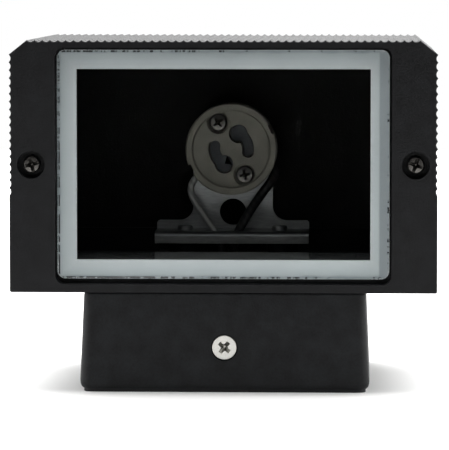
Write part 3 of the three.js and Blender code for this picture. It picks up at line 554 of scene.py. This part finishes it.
def makeGlazing():
    v = glazingValues
    pane = prism(roundedRectangle(glassLow.x, glassLow.z, glassHigh.x, glassHigh.z, v["radius"], 10),
                 glassLow.y, glassHigh.y)
    finishPiece(soften(pane, v["arris"], 2), "glassPane", floatGlass, "front_frame", ["glass_pane"])
    low, high = cadBox("glass_sealant")
    inset = v["inset"]
    bed = prism(roundedRectangle(glassLow.x + inset, glassLow.z + inset, glassHigh.x - inset, glassHigh.z - inset,
                                 v["radius"], 10), low.y + 0.02, high.y)
    x0, x1, z0, z1 = sealantWindow
    bed = soften(combine(bed, [block((x0, low.y - 1, z0), (x1, high.y + 1, z1))]), v["bedEdge"])
    finishPiece(bed, "siliconeBed", silicone, "front_frame", ["glass_sealant"])
    low, high = cadBox("front_gasket")
    gap = v["gasketInset"]
    half, bottom, top = headHigh.x - gap, headLow.z + gap, headHigh.z - gap
    cornerX, cornerZ = headHigh.x - headValues["chamferX"] - gap / 2, headHigh.z - headValues["chamferZ"] - gap / 2
    outline = [(-half, bottom), (-half, cornerZ), (-cornerX, top), (cornerX, top), (half, cornerZ), (half, bottom)]
    tools = [prism(cavityOutline(), low.y - 1, high.y + 1)]
    tools += [rod(housingValues["bezelHole"][0], low.y - 1, high.y + 1, (cadMiddle("bezel_screw_" + side).x,
                                                                       cadMiddle("bezel_screw_" + side).z), "Y", 24)
              for side, sign in sides]
    gasket = soften(combine(prism(outline, low.y, high.y), tools), 0.1)
    finishPiece(gasket, "frontGasket", rubber, "front_frame", ["front_gasket"])


makeGlazing()
print("glazing made")


# screws: each is turned along Y with its head at the origin facing forward, then put in its place
screwKinds = {
    "bezel": {"head": 2.45, "height": 1.9, "shank": 1.45, "span": 4.3, "width": 0.95, "deep": 1.75, "flat": 0},
    "base": {"head": 3.5, "height": 0.3, "cone": 1.7, "shank": 1.95, "span": 3.9, "width": 1.1, "deep": 2.6,
             "flat": 1},
    "shelf": {"head": 2.3, "height": 1.6, "shank": 1.25, "span": 2.9, "width": 0.65, "deep": 0.9, "flat": 0},
    "holder": {"head": 2.6, "height": 1.8, "shank": 1.45, "span": 3.3, "width": 0.75, "deep": 1.1, "flat": 0},
    "through": {"head": 3.4, "height": 2.0, "shank": 1.95, "span": 4.2, "width": 0.9, "deep": 1.3, "flat": 0},
    "blockHold": {"head": 2.5, "height": 1.4, "shank": 1.25, "span": 3.0, "width": 0.65, "deep": 0.9, "flat": 0},
    "earth": {"head": 3.3, "height": 2.0, "shank": 1.25, "span": 3.8, "width": 0.8, "deep": 1.2, "flat": 0},
}
threadPitch = 0.7


def crossRecess(v, turn):
    a, b, f = v["span"] / 2, v["width"] / 2, 0.55 * v["width"]
    arm = [(a - 0.12, -b), (a, -b + 0.12), (a, b - 0.12), (a - 0.12, b),
           (b + f, b), (b + 0.5 * f, b + 0.1 * f), (b + 0.25 * f, b + 0.25 * f), (b + 0.1 * f, b + 0.5 * f), (b, b + f)]
    outline = []
    for k in range(4):
        c, s = (1, 0, -1, 0)[k], (0, 1, 0, -1)[k]
        outline += [(x * c - z * s, x * s + z * c) for x, z in arm]
    tip = [(0.14 * x, 0.14 * z) for x, z in outline]
    bm = lofted([(outline, -0.4), (outline, 0.0), (tip, v["deep"])])
    bmesh.ops.rotate(bm, verts=bm.verts, cent=(0, 0, 0), matrix=Matrix.Rotation(math.radians(-turn), 3, "Y"))
    return bm


def makeScrew(node, kind, facing, material, body, turn=0.0):
    v = screwKinds[kind]
    low, high = cadBox(node)
    middle = (low + high) / 2
    r, h, s = v["head"], v["height"], v["shank"]
    length = high.z - low.z if facing in ("up", "down") else high.y - low.y
    if v["flat"]:
        profile = [(0, 0), (r - 0.2, 0), (r - 0.05, 0.07), (r, 0.2), (r, h), (s, h + v["cone"])]
    else:
        profile = [(0, 0), (0.5 * r, 0.01 * h), (0.84 * r, 0.06 * h), (0.96 * r, 0.18 * h), (r, 0.4 * h),
                   (r, h - 0.12), (r - 0.12, h), (s, h)]
    start = profile[-1][1] + 0.6
    turns = int((length - 1.0 - start) / threadPitch)
    for k in range(turns):
        profile += [(s - 0.28, start + k * threadPitch), (s, start + (k + 0.5) * threadPitch)]
    profile += [(s - 0.28, start + turns * threadPitch), (0, length)]
    bm = combine(turned(profile, (0, 0), "Y", 40), [crossRecess(v, turn)])
    quarter = math.pi / 2
    way = {"front": Matrix(), "rear": Matrix.Rotation(math.pi, 4, "Z"), "up": Matrix.Rotation(-quarter, 4, "X"),
           "down": Matrix.Rotation(quarter, 4, "X")}[facing]
    face = {"front": (middle.x, low.y, middle.z), "rear": (middle.x, high.y, middle.z),
            "up": (middle.x, middle.y, high.z), "down": (middle.x, middle.y, low.z)}[facing]
    bmesh.ops.transform(bm, matrix=Matrix.Translation(face) @ way, verts=bm.verts)
    finishPiece(bm, node + "_turned", material, body, [node], 24)


makeScrew("bezel_screw_left", "bezel", "front", blackNickelAndShade, "bezel_screw_left", 15)
makeScrew("bezel_screw_right", "bezel", "front", blackNickelAndShade, "bezel_screw_right", -20)
makeScrew("base_screw_front", "base", "front", stainless, "base_screw_front", 50)
makeScrew("base_screw_rear", "base", "rear", stainless, "base_screw_rear", 20)
for side, sign in sides:
    makeScrew("bracket_screw_" + side, "shelf", "up", zincPlate, "luminaire", 30 * sign)
    makeScrew("head_screw_front_" + side, "through", "down", zincPlate, "luminaire", 25 * sign)
    makeScrew("head_screw_rear_" + side, "through", "down", zincPlate, "luminaire", 40 * sign)
# the lampholder screws are painted dark as shade, deep in their bores
makeScrew("lampholder_screw_upper", "holder", "front", blackNickelAndShade, "luminaire", 35)
makeScrew("lampholder_screw_lower", "holder", "front", blackNickelAndShade, "luminaire", 10)
makeScrew("terminal_block_screw", "blockHold", "down", zincPlate, "luminaire", 20)
makeScrew("earth_screw", "earth", "down", zincPlate, "luminaire", 12)
print("screws made")


# lampholder
holderValues = {"rim": 11.43, "rimDepth": 1.6, "edge": 0.35, "pins": 5.0, "entry": 2.8, "angle": 64.8, "slot": 3.6,
                "sweep": 74, "slotDepth": 6.0, "bore": 3.1, "boreDepth": 5.0, "hole": 1.8,
                "notchAngle": 27, "notch": 3.0, "notchDepth": 0.8, "contactDepth": 3.4, "contactGap": 0.35}


def onHolder(radius, degrees):
    angle, z = math.radians(degrees), cadMiddle("lampholder_body").z
    return radius * math.cos(angle), z + radius * math.sin(angle)


def keyhole(turn, low, high, drawnIn=0.0):
    v = holderValues
    x, z = 0.0, cadMiddle("lampholder_body").z
    start, end = v["angle"] + turn, v["angle"] + turn - v["sweep"]
    half = v["slot"] / 2 - drawnIn
    endX, endZ = onHolder(v["pins"], end)
    outline = arc(x, z, v["pins"] + half, start, end, 16) + arc(endX, endZ, half, end, end - 180, 10)[1:-1]
    outline += arc(x, z, v["pins"] - half, end, start, 16)
    return [prism(outline, low, high), rod(v["entry"] - drawnIn, low, high, onHolder(v["pins"], start))]


def makeLampholder():
    v = holderValues
    low, high = cadBox("lampholder_body")
    middle, radius = (low + high) / 2, (high.x - low.x) / 2
    face = low.y + v["rimDepth"]
    e = v["edge"]
    rim = v["rim"]
    # the rim stands proud of the face, rounded on its top
    profile = [(0, face), (rim - 0.1, face), (rim, face - 0.1), (rim, low.y + e), (rim + e, low.y), (radius - e, low.y),
               (radius, low.y + e), (radius, high.y - 0.2), (radius - 0.2, high.y), (0, high.y)]
    bm = turned(profile, (middle.x, middle.z), "Y", 72)
    slots = []
    for turn in (0, 180):
        slot, entry = keyhole(turn, face - 1, face + v["slotDepth"])
        slots.append(combine(slot, [entry], "UNION"))
        place = onHolder(8.75, 117 + turn)
        slots.append(turned([(0, face - 1), (v["bore"] + 0.3, face - 1), (v["bore"] + 0.3, face),
                             (v["bore"], face + 0.3), (v["bore"], low.y + v["boreDepth"]),
                             (0, low.y + v["boreDepth"])], place, "Y", 40))
        slots.append(rod(v["hole"], low.y, high.y + 1, place, "Y", 24))
        reach = radius - v["notchDepth"]
        notch = block((reach, low.y - 1, -v["notch"] / 2), (reach + 4, high.y + 1, v["notch"] / 2))
        turnIt = Matrix.Rotation(-math.radians(v["notchAngle"] + turn), 4, "Y")
        bmesh.ops.transform(notch, matrix=Matrix.Translation((middle.x, 0, middle.z)) @ turnIt, verts=notch.verts)
        slots.append(notch)
    bm = combine(bm, slots)
    soften(bm, 0.22, 2, 70)
    # the holder's body and cap are painted dim grey-beige, as shade inside the head
    finishPiece(bm, "lampholderBody", shadedSteatite, "luminaire", ["lampholder_body"])
    # the contact plates are painted dark grey as shade inside the slots
    for node, turn in (("contact_right", 0), ("contact_left", 180)):
        slot, entry = keyhole(turn, face + v["contactDepth"], face + v["contactDepth"] + 0.5, v["contactGap"])
        plate = soften(combine(slot, [entry], "UNION"), 0.1)
        finishPiece(plate, node.split("_")[0] + "Plate" + node.split("_")[1].title(), shadedNickel, "luminaire",
                    [node])
    low, high = cadBox("lampholder_cap")
    middle, radius = (low + high) / 2, (high.x - low.x) / 2
    cap = rod(radius, low.y, high.y, (middle.x, middle.z), "Y", 72, 0.5)
    ways = [rod(v["hole"], low.y - 1, high.y + 1, onHolder(8.75, 117 + turn), "Y", 24) for turn in (0, 180)]
    for degrees, width in ((222, 3.0), (330.5, 3.7)):
        way = rod(width / 2, -4, 4, (0, 0), "Y", 24)
        turnIt = Matrix.Rotation(-math.radians(degrees), 4, "Y") @ Matrix.Translation((radius - 1, 0, 0))
        turnIt = turnIt @ Matrix.Rotation(math.radians(90), 4, "Z")
        bmesh.ops.transform(way, matrix=Matrix.Translation((middle.x, low.y + 2.7, middle.z)) @ turnIt,
                            verts=way.verts)
        ways.append(way)
    finishPiece(combine(cap, ways), "lampholderCap", shadedSteatite, "luminaire", ["lampholder_cap"])


bracketValues = {"thickness": 1.2, "neck": 12, "footTop": 44.3, "fillet": 4.2, "shelfTop": 41.7, "hole": (46.85, 4.0),
                 "bend": 1.5, "footCorner": 1.0, "slot": (-8.5, 17.4, 5.6, 22.6, 2.5), "screwHole": 1.6,
                 "screwAt": (14.2, 20), "edge": 0.12}


def makeBracket():
    v = bracketValues
    low, high = cadBox("lampholder_bracket")
    t, r, top = v["thickness"], v["bend"], v["shelfTop"]
    # lip, shelf and upright as one bent sheet, drawn in Y and Z and run along X
    side = [(low.y, low.z), (low.y + t, low.z)] + arc(low.y + r, top - r, r - t, 180, 90, 5)
    side += arc(high.y - r, top - t + r, r, -90, 0, 8) + [(high.y, high.z), (high.y - t, high.z)]
    side += arc(high.y - r, top - t + r, r - t, 0, -90, 5) + arc(low.y + r, top - r, r, 90, 180, 8)
    bm = prism(side, low.x, high.x, "X")
    front, back = high.y - t - 1, high.y + 1
    f, foot, neck = v["fillet"], v["footTop"], v["neck"]
    tools = []
    for name, sign in sides:
        away = [(sign * x, z) for x, z in
                arc(neck + f, foot + f, f, 180, 270, 8) + arc(high.x - v["footCorner"], foot - v["footCorner"],
                                                              v["footCorner"], 90, 0, 5)
                + [(high.x + 1, foot - v["footCorner"]), (high.x + 1, high.z + 1), (0, high.z + 1)]
                + arc(0, high.z - neck, neck, 90, 0, 20)]
        tools.append(prism(away, front, back))
        tools.append(rod(v["screwHole"], top - 2, top + 1, (sign * v["screwAt"][0], v["screwAt"][1]), "Z", 24))
    tools += [rod(holderValues["hole"], front, back, onHolder(8.75, 117 + turn), "Y", 24) for turn in (0, 180)]
    tools.append(rod(v["hole"][1], front, back, (0, v["hole"][0]), "Y", 48))
    x0, y0, x1, y1, corner = v["slot"]
    tools.append(prism(roundedRectangle(x0, y0, x1, y1, corner), top - 2, top + 1, "Z"))
    bm = soften(combine(bm, tools), v["edge"], 2, 70)
    finishPiece(bm, "bentBracket", zincPlate, "luminaire", ["lampholder_bracket"])


makeLampholder()
makeBracket()
print("lampholder made")


# base: a drafted cover over the wall bracket
baseValues = {"radius": 3.0, "wall": 2.5, "top": 2.5, "boss": (24, 22, 4, 6), "blockHole": (-4.5, -4, 1.6),
              "curl": [(1.0, 40.4), (1.5, 40.82), (2.3, 41.1), (3.4, 41.17)],
              "shoulder": [(27.5, 40.13), (28.0, 39.98), (28.4, 39.5)], "sink": (3.8, 2.3, 1.7)}


def makeBase():
    v = baseValues
    low, high = cadBox("base_cover")
    under = high.z - v["top"]
    sections = [(roundedRectangle(-half, -half, half, half, v["radius"], 8), z) for z, half in v["curl"] + v["shoulder"]]
    bm = lofted(sections, "Z")
    insideLow, insideHigh = v["curl"][-1][1] - v["wall"], v["shoulder"][0][1] - v["wall"]
    inside = lofted([(roundedRectangle(-half, -half, half, half, 1.2, 5), z)
                     for half, z in ((insideLow, low.z - 1), (insideLow, low.z), (insideHigh, under))], "Z")
    bossX, bossY, bossRadius, bossLong = v["boss"]
    bm = combine(combine(bm, [inside]), [rod(bossRadius, under - bossLong, under + 1, (bossX, bossY), "Z", 40, 0.3)],
                 "UNION")
    bush = cadMiddle("lead_bush")
    blockX, blockY, blockHole = v["blockHole"]
    tools = [rod(housingValues["bush"], under - 1, high.z + 1, (bush.x, bush.y), "Z"),
             rod(1.6, under - 8, under - 0.5, (bossX, bossY), "Z", 24),
             rod(blockHole, under - 1, under + 1.8, (blockX, blockY), "Z", 24)]
    tools += [rod(housingValues["screwHole"], under - 1, high.z + 1, (p.x, p.y), "Z", 24) for p in headScrewPlaces()]
    wide, narrow, cone = v["sink"]
    for node, sign in (("base_screw_front", -1), ("base_screw_rear", 1)):
        boxLow, boxHigh = cadBox(node)
        face = max(-boxLow.y, boxHigh.y)
        profile = [(0, face + 2), (wide, face + 2), (wide, face - 0.15), (narrow, face - 0.3 - cone),
                   (narrow, face - 5), (0, face - 5)]
        tools.append(turned([(radius, sign * y) for radius, y in profile], (0, cadMiddle(node).z), "Y", 64))
    bm = combine(bm, tools)
    # the base cover's lighter coat is painted light
    finishPiece(bm, "baseCover", baseCoatPaintedLight, "luminaire", ["base_cover"])
    for node, half, corner, holes in (("head_gasket", 39, 2, True), ("wall_gasket", 40.1, 2.4, False)):
        low, high = cadBox(node)
        sheet = prism(roundedRectangle(-half, -half, half, half, corner), low.z, high.z, "Z")
        if holes:
            tools = [rod(housingValues["screwHole"], low.z - 1, high.z + 1, (p.x, p.y), "Z", 24)
                     for p in headScrewPlaces()] + [rod(4.9, low.z - 1, high.z + 1, (bush.x, bush.y), "Z")]
        else:
            tools = [prism(roundedRectangle(-37.9, -37.9, 37.9, 37.9, 1), low.z - 1, high.z + 1, "Z")]
        sheet = soften(combine(sheet, tools), 0.15)
        finishPiece(sheet, node.split("_")[0] + "GasketSheet", rubber, "luminaire", [node])


def makeNuts():
    for end, sign in (("front", -1), ("rear", 1)):
        low, high = cadBox("base_nut_" + end)
        nut = soften(block(low, high), 0.5, 2)
        nut = combine(nut, [rod(2.3, low.y - 1, high.y + 1, (0, (low.z + high.z) / 2), "Y", 32)])
        finishPiece(nut, "squareNut" + end.title(), zincPlate, "luminaire", ["base_nut_" + end])


wallValues = {"thickness": 1.5, "bend": 2.2, "strap": 12, "tabHalf": 10, "slot": 2.4, "cable": 8,
              "fixing": (22, 2.7, 5.5), "edge": 0.15, "corner": 4}


def makeWallBracket():
    v = wallValues
    low, high = cadBox("wall_bracket")
    t, r, half = v["thickness"], v["bend"], high.y
    # the strap with its two tabs turned up, as a bent sheet run along X
    outer = [(half, high.z)] + arc(half - r, r, r, 0, -90, 8)
    inner = arc(half - r, r, r - t, -90, 0, 6) + [(half - t, high.z)]
    side = outer + [(-y, z) for y, z in reversed(outer)] + [(-y, z) for y, z in reversed(inner)] + inner
    strap = prism(side, -v["strap"], v["strap"], "X")
    plateHalf = 20
    plate = prism(roundedRectangle(low.x, -plateHalf, high.x, plateHalf, v["corner"]), 0, t, "Z")
    bm = combine(plate, [strap], "UNION")
    screwZ = cadMiddle("base_screw_front").z
    tools = [rod(v["cable"], -1, t + 1, (0, 0), "Z", 56)]
    for name, sign in sides:
        x, narrow, long = v["fixing"]
        tools.append(prism(roundedRectangle(sign * x - narrow, -long, sign * x + narrow, long, narrow - 0.05),
                           -1, t + 1, "Z"))
    for sign in (-1, 1):
        ends = sorted((sign * (half + 1), sign * (half - r - 0.2)))
        slot = arc(0, screwZ, v["slot"], 180, 360, 12) + [(v["slot"] + 0.8, high.z + 1), (-v["slot"] - 0.8, high.z + 1)]
        tools.append(prism(slot, *ends))
        for name, leftRight in sides:
            corner = [(v["tabHalf"], r + 1), (v["strap"] + 1, r + 1), (v["strap"] + 1, high.z + 1),
                      (v["tabHalf"] - 2, high.z + 1), (v["tabHalf"] - 2, high.z), (v["tabHalf"], high.z - 2)]
            tools.append(prism([(leftRight * x, z) for x, z in corner], *ends))
    bm = soften(combine(bm, tools), v["edge"], 2, 70)
    finishPiece(bm, "wallBracket", zincPlate, "wall_bracket", ["wall_bracket"])


makeBase()
makeNuts()
makeWallBracket()
print("base made")


# wiring: bushes, terminal block and leads
bushValues = {"lead": (3.3, 4.6, 6.2, 34.3), "cable": (5.0, 7.6, 9.8, 1.5), "round": 0.4}


def makeBushes():
    for node, name, body in (("lead_bush", "lead", "luminaire"), ("cable_bush", "cable", "wall_bracket")):
        bore, neck, flange, seat = bushValues[name]
        low, high = cadBox(node)
        e = bushValues["round"]
        profile = [(bore, low.z + e), (bore + e, low.z), (neck - e, low.z), (neck, low.z + e), (neck, seat),
                   (flange, seat), (flange, high.z - e), (flange - e, high.z), (bore + e, high.z), (bore, high.z - e),
                   (bore, low.z + e)]
        bm = turned(profile, (cadMiddle(node).x, cadMiddle(node).y), "Z", 56)
        finishPiece(bm, name + "Bush", rubber, body, [node])


blockValues = {"pitch": 9.0, "bore": 1.9, "boreZ": 20.5, "well": 2.1, "screw": 1.7, "groove": 0.6}


def makeTerminalBlock():
    v = blockValues
    low, high = cadBox("terminal_block")
    tools = []
    for k in (-1, 0, 1):
        x = k * v["pitch"]
        tools.append(rod(v["bore"], low.y - 1, high.y + 1, (x, v["boreZ"]), "Y", 32))
        tools.append(rod(v["well"], low.z - 1, v["boreZ"], (x, 4), "Z", 32))
    for sign in (-1, 1):
        x = sign * v["pitch"] / 2
        tools.append(block((x - v["groove"], low.y - 1, low.z - 1), (x + v["groove"], high.y + 1, low.z + 2)))
    tools.append(rod(1.6, low.z - 1, high.z + 1, (-v["pitch"] / 2, -4), "Z", 24))
    bm = soften(combine(soften(block(low, high), 0.6, 3), tools), 0.12, 2, 70)
    finishPiece(bm, "terminalBlock", nylon, "luminaire", ["terminal_block"])
    for k in (-1, 0, 1):
        node = f"terminal_screw_{k + 2}"
        low, high = cadBox(node)
        grub = rod(v["screw"], low.z, high.z, (k * v["pitch"], 4), "Z", 32, 0.2)
        slot = block((low.x - 1, 3.6, low.z - 1), (high.x + 1, 4.4, low.z + 0.9))
        finishPiece(combine(grub, [slot]), "grubScrew" + str(k + 2), brass, "luminaire", [node])
    low, high = cadBox("earth_tag")
    eye = cadMiddle("earth_screw")
    ring = rod(3.6, low.z, high.z, (eye.x, eye.y), "Z", 40, 0.1)
    tail = soften(block((low.x, 20.6, low.z), (22, 22.6, high.z)), 0.15)
    tag = combine(combine(ring, [tail], "UNION"), [rod(1.6, low.z - 1, high.z + 1, (eye.x, eye.y), "Z", 24)])
    finishPiece(tag, "ringTag", brass, "luminaire", ["earth_tag"])


leadValues = {
    "white": (1.0, [(-9.4, 23, 58.3), (-11.8, 22.9, 56.4), (-12.6, 22.6, 53.3), (-11, 21.9, 49.5), (-8.4, 21, 45.8),
                    (-5.9, 20.4, 42.3), (-4.2, 20, 39.3), (-3.2, 20, 35.4), (-3.1, 20, 31), (-3.1, 20, 26),
                    (-4.6, 18, 22.4), (-8.2, 13.4, 20.7), (-9, 8.6, 20.5)]),
    "black": (1.35, [(9.9, 23, 60.9), (12.4, 22.9, 59.4), (11.9, 22.6, 57), (9.2, 22, 53.2), (6.3, 21.2, 49),
                     (3.6, 20.4, 44.7), (1.6, 20, 40.8), (0.3, 20, 36.6), (-0.2, 20, 31), (-0.1, 20, 26),
                     (1.8, 18.2, 22.6), (7.4, 13.8, 20.7), (9, 8.6, 20.5)]),
    "earth": (1.1, [(0, 8.6, 20.5), (0.2, 12, 20), (3.4, 15.4, 17.2), (9.4, 18, 15.2), (16, 20.6, 15.6),
                    (20.6, 21.4, 17.3)]),
}


def makeLead(colour, material):
    radius, route = leadValues[colour]
    curve = bpy.data.curves.new("route", "CURVE")
    curve.dimensions = "3D"
    curve.bevel_depth, curve.bevel_resolution, curve.resolution_u, curve.use_fill_caps = radius, 5, 8, True
    spline = curve.splines.new("BEZIER")
    spline.bezier_points.add(len(route) - 1)
    for knot, place in zip(spline.bezier_points, route):
        knot.co = place
        knot.handle_left_type = knot.handle_right_type = "AUTO"
    swept = bpy.data.objects.new("route", curve)
    scene.collection.objects.link(swept)
    bm = bmesh.new()
    bm.from_mesh(swept.to_mesh())
    swept.to_mesh_clear()
    bpy.data.objects.remove(swept)
    bpy.data.curves.remove(curve)
    finishPiece(bm, colour + "Lead", material, "luminaire", ["lead_" + colour], 60)


makeBushes()
makeTerminalBlock()
makeLead("white", whiteSleeve)
makeLead("black", blackSleeve)
makeLead("earth", earthSleeve)
print("wiring made")


# studio: a pale table in front of a bright backdrop, and a dark room behind the camera
studio = {"camera": (0.039, -1.0, 0.118), "aim": (0.00044, -0.05, 0.04834), "pixelFocal": 3404.0,
          "floor": "#f6f6f5", "floorFront": -0.42, "floorSide": 1.6, "floorBack": 1.3}


def makeStudio():
    data = bpy.data.cameras.new("camera")
    camera = bpy.data.objects.new("camera", data)
    scene.collection.objects.link(camera)
    camera.location = studio["camera"]
    camera.rotation_euler = (Vector(studio["aim"]) - camera.location).to_track_quat("-Z", "Y").to_euler()
    data.sensor_fit = "HORIZONTAL"
    data.sensor_width = 36
    data.lens = studio["pixelFocal"] / 449 * data.sensor_width
    data.clip_start, data.clip_end = 0.05, 50
    scene.camera = camera
    bm = bmesh.new()
    bmesh.ops.create_grid(bm, x_segments=1, y_segments=1, size=1)
    front, back, side = studio["floorFront"], studio["floorBack"], studio["floorSide"]
    bmesh.ops.scale(bm, vec=(side, (back - front) / 2, 1), verts=bm.verts)
    bmesh.ops.translate(bm, vec=(0, (back + front) / 2, 0), verts=bm.verts)
    floor = looseObject(bm, "floor")
    material, tree, shader, place = newMaterial(
        "paleTable", **{"Base Color": srgb(studio["floor"]), "Roughness": 0.9, "Specular IOR Level": 0.2})
    floor.data.materials.append(material)

    def softbox(name, place, aim, size, power):
        light = bpy.data.lights.new(name, "AREA")
        light.shape, light.size, light.size_y, light.energy = "RECTANGLE", size[0], size[1], power
        lamp = bpy.data.objects.new(name, light)
        scene.collection.objects.link(lamp)
        lamp.location = place
        lamp.rotation_euler = (Vector(aim) - lamp.location).to_track_quat("-Z", "Y").to_euler()

    softbox("overhead", (0, 0.5, 1.4), (0, 0.4, 0), (2.2, 2.6), 52)
    softbox("frontTop", (-0.1, -1.15, 0.85), (0, 0, 0.06), (1.0, 0.4), 0.5)
    softbox("sideRight", (1.1, -0.3, 0.4), (0, 0, 0.06), (0.6, 0.7), 4.3)
    softbox("sideLeft", (-1.1, -0.35, 0.4), (0, 0, 0.06), (0.6, 0.7), 4.8)
    world = bpy.data.worlds.new("world")
    scene.world = world
    world.use_nodes = True
    tree = world.node_tree
    tree.nodes.clear()
    toward = addNode(tree, "SeparateXYZ", {"Vector": addNode(tree, "TexCoord").outputs["Generated"]}).outputs["Y"]
    backdrop = addNode(tree, "MapRange", {"Value": toward, "From Min": -0.85, "From Max": 1.0, "To Min": 0.0,
                                          "To Max": 2.7}, interpolation_type="SMOOTHSTEP").outputs[0]
    seen = addNode(tree, "LightPath").outputs["Is Camera Ray"]
    strength = addNode(tree, "Mix", {"Factor": seen, "A": backdrop, "B": 1.0}).outputs[0]
    light = addNode(tree, "Background", {"Color": (1, 1, 1, 1), "Strength": strength})
    addNode(tree, "OutputWorld", {"Surface": light.outputs[0]})
    scene.view_settings.view_transform = "Standard"


makeStudio()
print("studio made")
